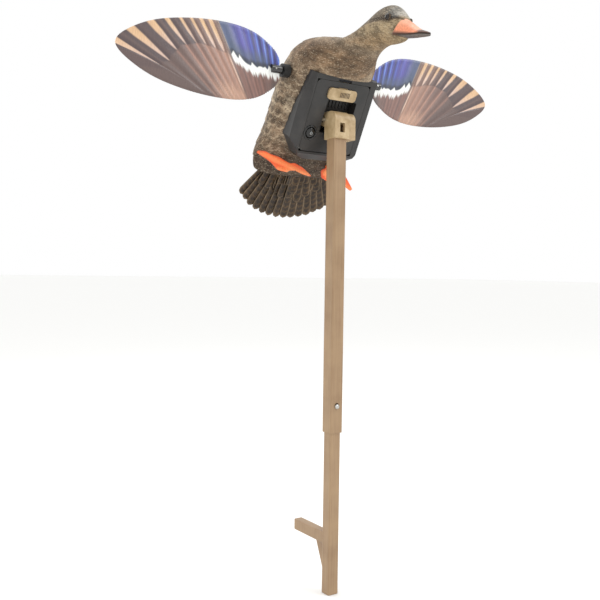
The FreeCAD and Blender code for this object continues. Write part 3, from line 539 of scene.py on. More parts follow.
def carved(item, *cutters):
    """Cuts the cutters out of a piece for good and takes them away."""
    for cutter in cutters:
        step = item.modifiers.new("cut", "BOOLEAN")
        step.object = cutter
        step.solver = "EXACT"
    whole = bpy.data.meshes.new_from_object(item.evaluated_get(bpy.context.evaluated_depsgraph_get()))
    item.modifiers.clear()
    item.data = whole
    for cutter in cutters:
        bpy.data.objects.remove(cutter)
    return item


RINGS = 330
AROUND = 176
MIDDLE_RING = 150
shape, along, across = sections(SECTIONS, RINGS, AROUND)
row, column = feather_rows(along, across)
height = shingles(row, column)[0][:, :-1]
relief = np.interp(along, (0, 60, 120, 300), (0.0, 0.12, 0.8, 1.0))[:, None]
normal = np.cross(np.gradient(shape, axis=0), np.roll(shape, -1, axis=1) - np.roll(shape, 1, axis=1))
normal /= np.maximum(np.linalg.norm(normal, axis=-1, keepdims=True), 1e-9)
outwards = (normal[MIDDLE_RING] * (shape[MIDDLE_RING] - shape[MIDDLE_RING].mean(axis=0))).sum()
shape = shape + np.sign(outwards) * normal * ((height - 0.8) * relief)[..., None]
body = surface("body_moulding", bird(shape), uv=np.stack((row, column), axis=-1))

inner, _, _ = sections(SECTIONS[2:10], 60, 48, WALL * 1.6)
hollow = surface("hollow", bird(inner))
# The belly's opening follows the housing's plan, with a seat gap, from below up to its roof.
HOUSING_HALF = 54.0
HOUSING_SHIFT = 3.0
SEAT_GAP = 0.4
OPENING_LOW, OPENING_HIGH = -80.0, -14.0
PLAN = np.array(((-51, -13), (51, -13), (54, 30), (54, 77), (40, 98), (26, 104), (-26, 104), (-40, 98),
                 (-54, 77), (-54, 30)), float)
plan = PLAN * (1 + SEAT_GAP / HOUSING_HALF) + (HOUSING_SHIFT, 0)
levels = [np.column_stack((plan, np.full(len(plan), z)))
          for z in (OPENING_LOW, OPENING_LOW, OPENING_HIGH, OPENING_HIGH)]
opening = surface("opening", bird(np.array(levels)))
opening.data.polygons.foreach_set("use_smooth", np.zeros(len(opening.data.polygons), bool))
body = carved(body, hollow, opening)


EYE = np.array((-120.5, 709.0))


def paint_body(mesh):
    """Painted feathers, worked out at every corner from its place and its feather row, with painted shade by
    the housing and the rump and a partly painted highlight on the forehead.
    """
    count = len(mesh.loops)
    ends = np.empty(count, np.int32)
    mesh.loops.foreach_get("vertex_index", ends)
    points = np.empty(len(mesh.vertices) * 3)
    mesh.vertices.foreach_get("co", points)
    world = (points.reshape(-1, 3) / MM)[ends]
    level = np.column_stack((world[:, 0], (world - SHAFT / MM) @ BACK, (world - SHAFT / MM) @ UP))
    rows = np.empty(count * 2)
    mesh.uv_layers["rows"].uv.foreach_get("vector", rows)
    row, column = rows.reshape(-1, 2).T
    _, inside, tint, middle = shingles(row, column)
    x, y, z = level.T
    side = np.abs(x)
    full = np.ones(count)
    tone = lay(np.zeros((count, 3)), "#8c7760", full)
    tone = lay(tone, "#a8967e", 0.8 * ease(5, 40, z) * ease(95, 40, y))
    tone = lay(tone, "#7a6148", 0.85 * ease(-5, -30, y) * ease(-70, -40, y) * ease(30, -10, z))
    tone = lay(tone, "#6a5441", 0.7 * ease(90, 125, y))
    tone = lay(tone, "#574536", 0.6 * ease(-18, -36, z) * ease(20, 40, y))
    swell = np.sin(y / 13.0 + 2.2 * np.sin(z / 17.0)) * np.sin(z / 11.0 + 1.7 * np.sin(y / 19.0) + x / 40.0)
    tone = lay(tone, "#4f3f31", 0.5 * ease(0.05, 0.6, swell))
    tone = lay(tone, "#b6a78f", 0.4 * ease(-0.1, -0.6, swell) * ease(110, 70, y))
    # Painted shade: a dark band on the lower flanks where the body meets the housing.
    tone = lay(tone, "#3d3229", 0.85 * ease(-12, -34, z) * ease(-8, 8, y) * ease(30, 46, side))
    tone = lay(tone, "#8f806c", 0.7 * ease(-40, -62, y))
    bold = ease(-35, 0, y)
    heart = ease(0.62, 0.3, np.abs(inside - 0.45) * 2)
    tone = lay(tone, "#4c3c2e", bold * (0.25 + 0.45 * (tint < 0.35)) * heart)
    tone = lay(tone, "#b8a68c", bold * (0.35 + 0.4 * (tint > 0.55)) * ease(0.22, 0.04, inside))
    tone = lay(tone, "#3d3025", bold * 0.5 * ease(0.07, 0.02, np.abs(middle)) * ease(0.2, 0.4, inside))
    forward, high = world[:, 1], world[:, 2]
    face = ease(-62, -80, y)
    tone = lay(tone, "#9a8768", 0.8 * face * ease(712, 704, high))
    tone = lay(tone, "#8f7350", 0.6 * ease(-52, -66, y) * ease(-92, -72, y) * ease(700, 690, high))
    cap = ease(711, 716, high + 0.10 * (forward + 120))
    tone = lay(tone, "#6d6456", 0.85 * face * cap)
    stripe = ease(3.4, 1.6, np.abs(high - 708.5 - 0.08 * (forward + 120))) * ease(-84, -96, forward)
    tone = lay(tone, "#3a3028", 0.85 * face * stripe * ease(6, 10, side))
    # Pale grey forehead front: grey paint, its lighter front partly a painted highlight where the forehead is
    # lit.
    tone = lay(tone, "#a79b88", 0.5 * face * ease(-112, -122, forward) * ease(706, 711, high))
    socket = np.hypot((forward - EYE[0]) / 1.5, high - EYE[1])
    tone = lay(tone, "#352b23", 0.85 * face * ease(7.5, 4.0, socket) * ease(6, 10, side))
    # More of the forehead's pale front, partly a painted highlight.
    tone = lay(tone, "#a9aba8", 0.5 * face * ease(-114, -124, forward) * ease(706, 712, high))
    # Darker lower belly and rump by the tail: dark brown paint, deepened by painted shade under the body
    # between the feet and the housing.
    tone = lay(tone, "#3f352c", 0.75 * ease(84, 100, y) * ease(-2, -16, z))
    tone = lay(tone, "#3a3027", 0.8 * ease(102, 122, y) * ease(26, 8, z))
    layer = mesh.color_attributes.new("print", "FLOAT_COLOR", "CORNER")
    layer.data.foreach_set("color", np.column_stack((tone, full)).astype(np.float32).ravel())


def painted_polyethylene():
    """Flat paint on polyethylene: sprayed tone broken by brushed flecks 2 mm wide and twice as long."""
    made, tree, shader = material("painted_polyethylene", "#8c7760", roughness=0.72, ior=1.5,
                                  specular_ior_level=0.3)
    place = add(tree, "TexCoord").outputs["Object"]
    lie = add(tree, "Mapping", {"Vector": place, "Rotation": (-BIRD_PITCH, 0.0, 0.0),
                                "Scale": (1.0, 0.45, 1.0)}, vector_type="TEXTURE").outputs["Vector"]
    flecks = add(tree, "TexNoise", {"Vector": lie, "Scale": 1 / (2.3 * MM), "Detail": 3.0})
    patches = add(tree, "TexNoise", {"Vector": lie, "Scale": 1 / (15 * MM), "Detail": 2.0, "Roughness": 0.6})
    dark = add(tree, "MapRange", {"Value": flecks.outputs["Fac"], "From Min": 0.56, "From Max": 0.66})
    light = add(tree, "MapRange", {"Value": flecks.outputs["Fac"], "From Min": 0.42, "From Max": 0.33})
    broad = add(tree, "MapRange", {"Value": patches.outputs["Fac"], "From Min": 0.36, "From Max": 0.64,
                                   "To Min": 0.56, "To Max": 1.28})
    some_dark = add(tree, "Math", {0: dark.outputs["Result"], 1: 0.75}, operation="MULTIPLY")
    some_light = add(tree, "Math", {0: light.outputs["Result"], 1: 0.55}, operation="MULTIPLY")
    flecked = add(tree, "Mix", {0: some_dark.outputs[0], 6: shaded(tree, broad), 7: linear("#4a3a2c")},
                  data_type="RGBA")
    speckled = add(tree, "Mix", {0: some_light.outputs[0], 6: flecked.outputs[2], 7: linear("#c3b49b")},
                   data_type="RGBA")
    relief = add(tree, "Bump", {"Height": flecks.outputs["Fac"], "Strength": 0.5, "Distance": 0.3 * MM})
    tree.links.new(speckled.outputs[2], shader.inputs["Base Color"])
    tree.links.new(relief.outputs["Normal"], shader.inputs["Normal"])
    return made


paint_body(body.data)
feather_paint = painted_polyethylene()
body.data.materials.clear()
body.data.materials.append(feather_paint)
body.data.polygons.foreach_set("material_index", np.zeros(len(body.data.polygons), np.int32))
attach(body, "bird")
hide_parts("body_shell")

# ------------------------------------------------------------------------------------------------
# Bill and eyes: the bill is moulded with the head and sprayed orange with a dark tip; its lower
# half shows as a dark edge. The eyes are glossy acrylic beads pressed into the face.

BILL_BASE = np.array((-110.0, 694.0))
BILL_TIP = np.array((-175.3, 679.8))
BILL_RINGS = 70
MOUTH_GAP = 0.4
# Along the bill from face to tip: half width, height above the mouth line, depth below it.
BILL = np.array(((11.0, 19.0, 3.0), (12.2, 19.8, 3.0), (12.8, 20.2, 2.8), (12.0, 18.4, 2.4),
                 (10.6, 14.8, 2.1), (9.4, 10.2, 1.8), (9.2, 5.8, 1.5), (7.6, 3.4, 1.1), (0.4, 0.6, 0.3)))


def mandible(upper):
    """Half of the bill: rings whose outer side is a squared half ellipse, x = w cos q and height =
    h sin q to the power 0.8, and whose mouth side is nearly flat, dished across the tip."""
    rows = through(BILL, np.linspace(0, len(BILL) - 1, BILL_RINGS))
    turn = np.radians(np.linspace(0, 360, 49)[:-1])
    outer = np.sin(turn) > 0
    lift = np.where(outer, np.abs(np.sin(turn)) ** 0.8, -0.12 * np.abs(np.sin(turn)))
    x = np.cos(turn) * rows[:, :1]
    tall = rows[:, 1:2] if upper else -rows[:, 2:3]
    high = lift * tall + (MOUTH_GAP if upper else -MOUTH_GAP)
    t = np.linspace(0, 1, BILL_RINGS)[:, None]
    spine = BILL_BASE + t * (BILL_TIP - BILL_BASE)
    spine[:, 1] -= 1.6 * np.sin(math.pi * t[:, 0])
    nostril = np.exp(-((t - 0.36) / 0.035) ** 2 - ((np.abs(x) - 4.5) / 1.1) ** 2) * (1.1 if upper else 0)
    points = np.stack((x, np.broadcast_to(spine[:, :1], x.shape), spine[:, 1:] + high - nostril), axis=-1)
    full = np.ones(x.shape)
    tone = lay(np.zeros(x.shape + (3,)), "#e9916a" if upper else "#6b4a38", full)
    if upper:
        # Painted highlights: a pale salmon sheen on the upper sides of the bill's back half and a paler line
        # along its top towards the tip.
        tone = lay(tone, "#f4b08a", 0.7 * ease(0.1, 0.35, t) * ease(0.6, 0.35, t) * ease(0.2, 0.8, lift))
        tone = lay(tone, "#f3c4a6", 0.6 * ease(0.5, 0.62, t) * ease(0.5, 1.0, lift))
        tone = lay(tone, "#3f302a", 0.9 * ease(0.74, 0.86, t) * full)
        tone = lay(tone, "#3a2c25", 0.9 * ease(1.3, 0.4, high) * full)
        tone = lay(tone, "#2c211c", np.clip(nostril * 1.4, 0, 1))
    else:
        tone = lay(tone, "#33291f", 0.9 * ease(0.2, 0.4, t) * full)
    return points * MM, tone


def sprayed_bill():
    """Sprayed enamel over the moulding: satin, with a 2 mm mottle where two colours overlap."""
    made, tree, shader = material("sprayed_bill_enamel", "#e9916a", roughness=0.38, ior=1.5)
    place = add(tree, "TexCoord").outputs["Object"]
    mottle = add(tree, "TexNoise", {"Vector": place, "Scale": 1 / (2.2 * MM), "Detail": 3.0})
    shade = add(tree, "MapRange", {"Value": mottle.outputs["Fac"], "From Min": 0.3, "From Max": 0.7,
                                   "To Min": 0.8, "To Max": 1.12})
    relief = add(tree, "Bump", {"Height": mottle.outputs["Fac"], "Strength": 0.3, "Distance": 0.1 * MM})
    tree.links.new(shaded(tree, shade), shader.inputs["Base Color"])
    tree.links.new(relief.outputs["Normal"], shader.inputs["Normal"])
    return made


bill_enamel = sprayed_bill()
for half, upper in (("upper", True), ("lower", False)):
    points, tone = mandible(upper)
    bill = surface("bill_" + half, points, colours=tone)
    bill.data.materials.append(bill_enamel)
    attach(bill, "bird")


def bead_plastic():
    """Glossy acrylic bead, near black with a brown iris ring painted behind it."""
    made, tree, shader = material("acrylic_eye_bead", "#1a120d", roughness=0.06, ior=1.49)
    place = add(tree, "TexCoord").outputs["Object"]
    rays = add(tree, "TexNoise", {"Vector": place, "Scale": 1 / (0.6 * MM), "Detail": 2.0})
    shade = add(tree, "MapRange", {"Value": rays.outputs["Fac"], "To Min": 0.7, "To Max": 1.3})
    tree.links.new(shaded(tree, shade), shader.inputs["Base Color"])
    return made


EYE_RADIUS = 4.0
EYE_SUNK = 1.9
LID_SUNK = 0.9
LID_RADIUS = 0.75
bead = bead_plastic()
skin = np.empty(len(body.data.vertices) * 3)
body.data.vertices.foreach_get("co", skin)
skin = skin.reshape(-1, 3) / MM
near_eye = np.hypot(skin[:, 1] - EYE[0], skin[:, 2] - EYE[1]) < 2.5
face_side = np.abs(skin[near_eye, 0]).max()
for side, sign in (("right", -1), ("left", 1)):
    polar = np.radians(np.linspace(0, 180, 26))[:, None]
    turn = np.radians(np.linspace(0, 360, 33)[:-1])
    points = np.stack((sign * (face_side - EYE_SUNK + EYE_RADIUS * np.cos(polar) + 0 * turn),
                       EYE[0] + EYE_RADIUS * np.sin(polar) * np.cos(turn),
                       EYE[1] + EYE_RADIUS * np.sin(polar) * np.sin(turn)), axis=-1)
    tone = lay(lay(np.zeros(points.shape), "#120d0a", np.ones(points.shape[:2])), "#1d120b",
               ease(0.42, 0.5, np.sin(polar)) * ease(0.9, 0.8, np.sin(polar)) + 0 * turn)
    eye = surface("eye_" + side, points * MM, colours=tone)
    eye.data.materials.append(bead)
    ring = np.radians(np.linspace(0, 360, 41)[:-1])[:, None]
    tube = np.radians(np.linspace(0, 360, 13)[:-1])
    reach = EYE_RADIUS * 0.98 + LID_RADIUS * np.cos(tube)
    lid = np.stack((sign * (face_side - LID_SUNK + LID_RADIUS * np.sin(tube) + 0 * ring),
                    EYE[0] + 1.12 * reach * np.cos(ring), EYE[1] + 0.8 * reach * np.sin(ring)), axis=-1)
    index = np.arange(lid.shape[0] * lid.shape[1]).reshape(lid.shape[:2])
    quads = np.stack((index, np.roll(index, -1, 1), np.roll(np.roll(index, -1, 1), -1, 0),
                      np.roll(index, -1, 0)), axis=-1).reshape(-1, 4)
    lid_mesh = bpy.data.meshes.new("eyelid_" + side)
    order = quads if sign < 0 else quads[:, ::-1]
    lid_mesh.from_pydata((lid * MM).reshape(-1, 3).tolist(), [], order.tolist())
    lid_mesh.polygons.foreach_set("use_smooth", np.ones(len(lid_mesh.polygons), bool))
    rim = lid_mesh.color_attributes.new("print", "FLOAT_COLOR", "POINT")
    rim.data.foreach_set("color", np.tile(linear("#5b4c3c"), len(lid_mesh.vertices)).astype(np.float32))
    eyelid = bpy.data.objects.new("eyelid_" + side, lid_mesh)
    bpy.context.scene.collection.objects.link(eyelid)
    lid_mesh.materials.append(feather_paint)
    for piece in (eye, eyelid):
        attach(piece, "bird")

# ------------------------------------------------------------------------------------------------
# Tail: fifteen stiff feathers moulded as one fan, each lapped over the next from the middle out,
# under a short fan of coverts on both sides; brown paint with pale edges and brushed bars.

TAIL_ROOT = 128.0
TAIL_REACH = 78.0
TAIL_RISE = 12.0
TAIL_SPREAD = 57.0
STRETCH = 1.22


def plume(angle, root_half, inset, length, half_wide, drop, tilt, tint):
    """One feather as rings round a thin blade, from its place on the wide root to its tip.

    The tip lies on the fan's arc, x = 1.22 r sin(angle), and the root on a straight line across
    the rump. Width grows as the root of the distance and closes in half an ellipse; the blade is
    arched across, h = 0.9 (1 - c squared), with a round quill down the middle and barb grooves."""
    turn = math.radians(angle)
    root = np.array((root_half * angle / TAIL_SPREAD, TAIL_ROOT + inset))
    tip = np.array((STRETCH * length * math.sin(turn), TAIL_ROOT + length * math.cos(turn)))
    ahead = tip - root
    reach = np.linalg.norm(ahead)
    ahead = ahead / reach
    t = np.linspace(0, 1, 44)[:, None]
    c = np.concatenate((np.linspace(1, -1, 17), np.linspace(-1, 1, 17)[1:-1]))
    under = np.concatenate((np.full(17, -1.0), np.ones(15)))
    closing_in = np.sqrt(np.clip(1 - np.clip((t - 0.88) / 0.12, 0, 1) ** 2, 0, 1))
    wide = half_wide * (0.5 + 0.5 * np.sqrt(t)) * closing_in
    quill = np.exp(-(c * half_wide / 0.7) ** 2) * (1 - 0.6 * t) * closing_in
    barbs = 0.12 * np.cos(2 * math.pi * (t * reach - 1.1 * np.abs(c) * half_wide) / 2.4) * closing_in
    rim = np.sqrt(1 - np.abs(c) ** 6) * closing_in
    depth = under * (0.45 * rim + 0.45 * quill) + 0.9 * (1 - c * c) * closing_in + barbs * (1 - quill)
    x = root[0] + t * reach * ahead[0] + c * wide * ahead[1]
    y = root[1] + t * reach * ahead[1] - c * wide * ahead[0]
    z = TAIL_RISE + drop + depth + tilt * c * closing_in
    full = np.ones(x.shape)
    tone = lay(np.zeros(x.shape + (3,)), "#30261e", full)
    tone = lay(tone, "#55422f", (0.2 + 0.55 * tint) * ease(0.2, 0.75, np.abs(c)) * full)
    tone = lay(tone, "#796851", 0.75 * ease(0.66, 0.84, np.abs(c)) * ease(0.05, 0.2, t))
    tone = lay(tone, "#6f5e4a", 0.6 * ease(0.955, 0.975, t) * full)
    tone = lay(tone, "#1e1712", 0.85 * ease(0.9, 0.98, np.abs(c)) * full)
    bars = ease(0.3, 0.7, np.sin(2 * math.pi * (t * reach / 7.5 + 0.5 * np.abs(c) + tint)))
    tone = lay(tone, "#84683f", 0.22 * bars * ease(0.95, 0.5, np.abs(c)))
    return np.stack((x, y, z), axis=-1), lay(tone, "#2a201a", 0.8 * quill)


def fan(name, count, root_half, inset, length, half_wide, drop, seed, mess=0.03):
    """Feathers at even steps of angle, each lapped over its outer neighbour; seeded small changes
    shorten each by up to the share of mess and turn it by up to 15 degrees times mess."""
    chance = np.random.default_rng(seed)
    feathers = []
    for number in range(count):
        angle = TAIL_SPREAD * (2 * (number + 0.5) / count - 1)
        lean = -0.55 * np.sign(angle) if abs(angle) > 1 else 0.0
        angle += 30 * mess * (chance.random() - 0.5)
        feathers.append(plume(angle, root_half, inset, length * (1.03 - mess * chance.random()), half_wide,
                              drop + 0.016 * abs(angle), lean * (1 + 4 * mess), chance.random()))
    points = bird(np.array([feather[0] for feather in feathers]))
    item = surface(name, points, colours=np.array([feather[1] for feather in feathers]))
    item.data.materials.append(tail_paint)
    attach(item, "bird")
    return item


def brushed_tail_paint():
    """Thin brown paint brushed over polyethylene: satin, in streaks 1.2 mm wide."""
    made, tree, shader = material("brushed_tail_paint", "#43362c", roughness=0.55, ior=1.5,
                                  specular_ior_level=0.35)
    place = add(tree, "TexCoord").outputs["Object"]
    lie = add(tree, "Mapping", {"Vector": place, "Rotation": (-BIRD_PITCH, 0.0, 0.0),
                                "Scale": (1.0, 5.0, 1.0)}, vector_type="TEXTURE").outputs["Vector"]
    streaks = add(tree, "TexNoise", {"Vector": lie, "Scale": 1 / (1.2 * MM), "Detail": 3.0})
    patches = add(tree, "TexNoise", {"Vector": place, "Scale": 1 / (16 * MM), "Detail": 3.0})
    both = add(tree, "Mix", {0: 0.45, 2: streaks.outputs["Fac"], 3: patches.outputs["Fac"]},
               data_type="FLOAT")
    shade = add(tree, "MapRange", {"Value": both.outputs[0], "From Min": 0.36, "From Max": 0.64,
                                   "To Min": 0.45, "To Max": 1.5})
    relief = add(tree, "Bump", {"Height": streaks.outputs["Fac"], "Strength": 0.4, "Distance": 0.2 * MM})
    tree.links.new(shaded(tree, shade), shader.inputs["Base Color"])
    tree.links.new(relief.outputs["Normal"], shader.inputs["Normal"])
    return made


tail_paint = brushed_tail_paint()
tail = fan("tail_feathers", 15, 44.0, -6.0, TAIL_REACH, 7.6, -0.6, 21)
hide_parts("tail_fan")
fan("tail_coverts_under", 12, 40.0, -8.0, 54.0, 6.6, -2.6, 22, 0.3)
fan("tail_coverts_under_short", 10, 34.0, -8.0, 36.0, 6.0, -4.2, 23, 0.45)
fan("tail_coverts_upper", 12, 40.0, -8.0, 50.0, 7.2, 1.6, 24, 0.12)
fan("tail_coverts_upper_short", 10, 34.0, -8.0, 30.0, 6.8, 3.2, 25, 0.12)

# ------------------------------------------------------------------------------------------------
# Feet: soft webs of orange plasticised PVC with ridged toes, each moulded in one with its short
# leg, which plugs into the rump of the shell.

FOOT_LEVEL = -25.5
LEG_BACK = 118.0
LEG_ACROSS = 36.0
TOE_WIDTH = 2.8
WEB_RINGS = 26
# Each foot's outline, across and back, then its heel and the tips that its toes run to.
FEET = {
    "right": (((2, 128), (-7, 122.5), (-15, 117.5), (-29.5, 112), (-37, 113), (-45, 110.5), (-56, 106),
               (-69.5, 103.5), (-79, 100), (-90, 100.5), (-91, 103.5), (-77.5, 109), (-67.5, 114),
               (-62, 117.5), (-54, 123.5), (-49.5, 124.5), (-38.5, 126), (-34, 123), (-25, 122.5),
               (-17, 125.5), (-11.5, 127), (-1.5, 129)),
              (-6, 127), ((-88, 102), (-53, 122), (-39, 124.5))),
    "left": (((14, 119), (24, 112), (46, 113), (62, 128), (76, 142), (73, 145), (57, 137), (46, 139),
              (30, 134), (18, 129)), (22, 121), ((74.5, 143), (52, 137.5), (36, 134))),
}


def ridge(x, y, start, end, wide):
    """Height of a rounded ridge along a line: exp(-(distance / width) squared), knuckled three times."""
    line = np.subtract(end, start)
    share = np.clip(((x - start[0]) * line[0] + (y - start[1]) * line[1]) / (line @ line), 0, 1)
    away = np.hypot(x - start[0] - share * line[0], y - start[1] - share * line[1])
    knuckles = 1 + 0.22 * np.cos(6 * math.pi * share)
    return np.exp(-(away / wide) ** 2) * knuckles * (1 - 0.35 * share)


def webbed_foot(side):
    """Web and toes: rings grow from the middle of the top to the outline and back underneath.

    The outline is the chosen corners joined by straight web edges; thickness is a thin web with a
    ridge for each toe, drawn to nothing at the rim."""
    corners, heel, tips = FEET[side]
    corners = np.array(corners, float)
    middle = corners.mean(axis=0)
    ahead = np.roll(corners, -1, axis=0)
    edges = np.concatenate([np.linspace(a, b, 17)[:-1] for a, b in zip(corners, ahead)])
    smooth = sum(np.roll(edges, shift, axis=0) for shift in range(-3, 4)) / 7
    out = np.concatenate((np.linspace(0.02, 1, WEB_RINGS), np.linspace(1, 0.02, WEB_RINGS)))[:, None]
    top = np.concatenate((np.ones(WEB_RINGS), -np.ones(WEB_RINGS)))[:, None]
    x = middle[0] + out * (smooth[:, 0] - middle[0])
    y = middle[1] + out * (smooth[:, 1] - middle[1])
    toes = sum(ridge(x, y, np.array(heel), np.array(tip), TOE_WIDTH) for tip in tips)
    rim = np.sqrt(np.clip(1 - out ** 8, 0, 1))
    z = FOOT_LEVEL + top * rim * (0.55 + 1.15 * np.clip(toes, 0, 1.2))
    tone = lay(np.zeros(x.shape + (3,)), "#ff7434", np.ones(x.shape))
    tone = lay(tone, "#ff9a5c", 0.7 * np.clip(toes, 0, 1))
    tone = lay(tone, "#e8501a", 0.6 * ease(0.35, 0.05, toes))
    tone = lay(tone, "#d8431a", 0.6 * ease(0.8, 1.0, out) * (y < middle[1]))
    return bird(np.stack((x, y, z), axis=-1)), tone


def leg(sign):
    """Round leg that swells into the web, radius 2.7 mm, with six shallow rings of scales."""
    t = np.linspace(0, 1, 30)[:, None]
    turn = np.radians(np.linspace(0, 360, 25)[:-1])
    radius = 2.7 + 1.6 * (1 - t) ** 3 + 0.15 * np.cos(t * 12 * math.pi)
    z = FOOT_LEVEL + t * 22.0
    points = np.stack((sign * LEG_ACROSS + radius * np.cos(turn), LEG_BACK + radius * np.sin(turn),
                       z + 0 * turn), axis=-1)
    return bird(points), lay(np.zeros(points.shape), "#ee6c2b", np.ones(points.shape[:2]))


def soft_pvc():
    """Orange plasticised PVC: waxy, a little light passes in, skin pimpled at 1.5 mm."""
    made, tree, shader = material("soft_orange_pvc", "#f2702e", roughness=0.42, ior=1.53,
                                  subsurface_weight=0.12, subsurface_scale=0.002)
    place = add(tree, "TexCoord").outputs["Object"]
    scales = add(tree, "TexVoronoi", {"Vector": place, "Scale": 1 / (1.5 * MM)})
    shade = add(tree, "MapRange", {"Value": scales.outputs["Distance"], "To Min": 1.06, "To Max": 0.8})
    relief = add(tree, "Bump", {"Height": scales.outputs["Distance"], "Strength": 0.5, "Distance": 0.15 * MM})
    tree.links.new(shaded(tree, shade), shader.inputs["Base Color"])
    tree.links.new(relief.outputs["Normal"], shader.inputs["Normal"])
    return made


orange_pvc = soft_pvc()
for side, sign in (("right", -1), ("left", 1)):
    points, tone = webbed_foot(side)
    web = surface("foot_web_" + side, points, colours=tone)
    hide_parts("foot_" + side)
    points, tone = leg(sign)
    shank = surface("foot_leg_" + side, points, colours=tone)
    for piece in (web, shank):
        piece.data.materials.append(orange_pvc)
        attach(piece, "bird")

# ------------------------------------------------------------------------------------------------
# Power button: a glossy black ABS cap that presses into the lid, in a moulded collar of the same
# black that stays with the lid. A small lamp sign stands on the cap, pad printed in pale grey.

FACE = -42.0
BUTTON = np.array((-31.0, 63.6))
CAP_RADII = (0.1, 2.2, 4.2, 5.6, 6.5, 6.8, 6.8, 6.8)
CAP_HEIGHTS = (-3.3, -3.1, -2.6, -1.9, -0.9, 0.0, 3.0, 3.6)
COLLAR_RADII = (7.35, 7.5, 8.0, 8.8, 9.4, 9.8, 9.8, 7.35, 7.35)
COLLAR_HEIGHTS = (-0.6, -1.3, -1.6, -1.5, -1.0, -0.2, 0.3, 0.3, -0.6)
SIGN_HEIGHT = -3.15
SIGN_LINE = 0.28


def turned(name, centre, radii, heights, out=UP, first=None):
    """A lathe shape: each radius at its height along an axis, swept round a full turn."""
    out = np.asarray(out, float)
    first = np.array((1.0, 0, 0)) if first is None else np.asarray(first, float)
    second = np.cross(out, first)
    turn = np.radians(np.linspace(0, 360, 65)[:-1])[:, None]
    ring = np.cos(turn) * first + np.sin(turn) * second
    radii = np.asarray(radii, float)[:, None, None]
    heights = np.asarray(heights, float)[:, None, None]
    return surface(name, np.asarray(centre) + MM * (radii * ring + heights * out))


def gloss_abs():
    """Gloss black ABS, polished in the tool: fine swirl of finger wear in the shine."""
    made, tree, shader = material("gloss_black_abs", "#111111", roughness=0.22, ior=1.53)
    place = add(tree, "TexCoord").outputs["Object"]
    smears = add(tree, "TexNoise", {"Vector": place, "Scale": 1 / (3 * MM), "Detail": 4.0})
    paint = add(tree, "ValToRGB", {"Fac": smears.outputs["Fac"]},
                stops=((0.4, linear("#0e0e0e")), (0.7, linear("#1d1c1b"))))
    worn = add(tree, "MapRange", {"Value": smears.outputs["Fac"], "To Min": 0.14, "To Max": 0.42})
    tree.links.new(paint.outputs["Color"], shader.inputs["Base Color"])
    tree.links.new(worn.outputs["Result"], shader.inputs["Roughness"])
    return made


gloss_black = gloss_abs()
at_button = bird(np.array((*BUTTON, FACE)))
cap = turned("power_cap", at_button, CAP_RADII, CAP_HEIGHTS)
cap.data.materials.append(gloss_black)
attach(cap, "power_button")
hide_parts("power_button")
collar = turned("button_collar", at_button, COLLAR_RADII, COLLAR_HEIGHTS)
collar.data.materials.append(gloss_black)
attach(collar, "lid")


def lamp_sign():
    """A lamp sign: an open ring of 1.6 mm radius and a bar through its top, as thin raised lines."""
    turn = np.radians(np.linspace(130, 410, 40))[:, None]
    line = np.column_stack((1.6 * np.cos(turn), 1.6 * np.sin(turn)))
    stroke = np.column_stack((np.zeros(12), np.linspace(0.2, 2.4, 12)))
    around = np.radians(np.linspace(0, 360, 9)[:-1])
    made = []
    for number, path in enumerate((line, stroke)):
        ahead = np.gradient(path, axis=0)
        ahead /= np.linalg.norm(ahead, axis=1, keepdims=True)
        side_way = np.column_stack((ahead[:, 1], -ahead[:, 0]))
        flat = path[:, None] + SIGN_LINE * np.cos(around)[:, None] * side_way[:, None]
        depth = FACE + SIGN_HEIGHT + SIGN_LINE * np.sin(around) + 0 * flat[..., 0]
        points = bird(np.dstack((BUTTON[0] + flat[..., 0], BUTTON[1] - flat[..., 1], depth)))
        made.append(surface(("lamp_sign_ring", "lamp_sign_bar")[number], points))
    return made


def sign_ink():
    """Pale grey pad-printed ink, a little broken over its 0.5 mm line."""
    made, tree, shader = material("pad_print_ink", "#b9bcbc", roughness=0.5)
    place = add(tree, "TexCoord").outputs["Object"]
    broken = add(tree, "TexNoise", {"Vector": place, "Scale": 1 / (0.5 * MM)})
    paint = add(tree, "ValToRGB", {"Fac": broken.outputs["Fac"]},
                stops=((0.3, linear("#8d9090")), (0.6, linear("#c3c6c6"))))
    tree.links.new(paint.outputs["Color"], shader.inputs["Base Color"])
    return made


ink_grey = sign_ink()
for piece in lamp_sign():
    piece.data.materials.append(ink_grey)
    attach(piece, "power_button")

# ------------------------------------------------------------------------------------------------
# Lid and latch details: stiffening ribs on the roof of the knuckle's well, and a dark grip of
# short ribs on the tan latch, all moulded with their pieces.


def bar(start, end, half_wide, half_tall):
    """A bar with rounded sides along x or y of the bird: squared-off oval rings, |u|^4 + |v|^4 = 1,
    closed in quickly at both ends."""
    t = np.linspace(0, 1, 24)[:, None]
    close = (1 - np.abs(2 * t - 1) ** 16) ** 0.25
    turn = np.radians(np.linspace(0, 360, 25)[:-1])
    u = np.sign(np.cos(turn)) * np.sqrt(np.abs(np.cos(turn))) * half_wide * close
    v = np.sign(np.sin(turn)) * np.sqrt(np.abs(np.sin(turn))) * half_tall * close
    start, end = np.array(start, float), np.array(end, float)
    ahead = (end - start) / np.linalg.norm(end - start)
    beside = np.cross(ahead, (0, 0, 1.0))
    upright = np.array((0, 0, 1.0))
    return bird(start + t[..., None] * (end - start) + u[..., None] * beside + v[..., None] * upright)


WELL_ROOF = -25.5
RIB_FRONT, RIB_REAR = 18.2, 32.0
ribs = surface("well_ribs", np.array([bar((x, RIB_FRONT, WELL_ROOF - 0.4), (x, RIB_REAR, WELL_ROOF - 0.4),
                                          0.9, 1.0) for x in np.linspace(-14, 23, 8)]))
ribs.data.materials.append(charcoal)
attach(ribs, "lid")


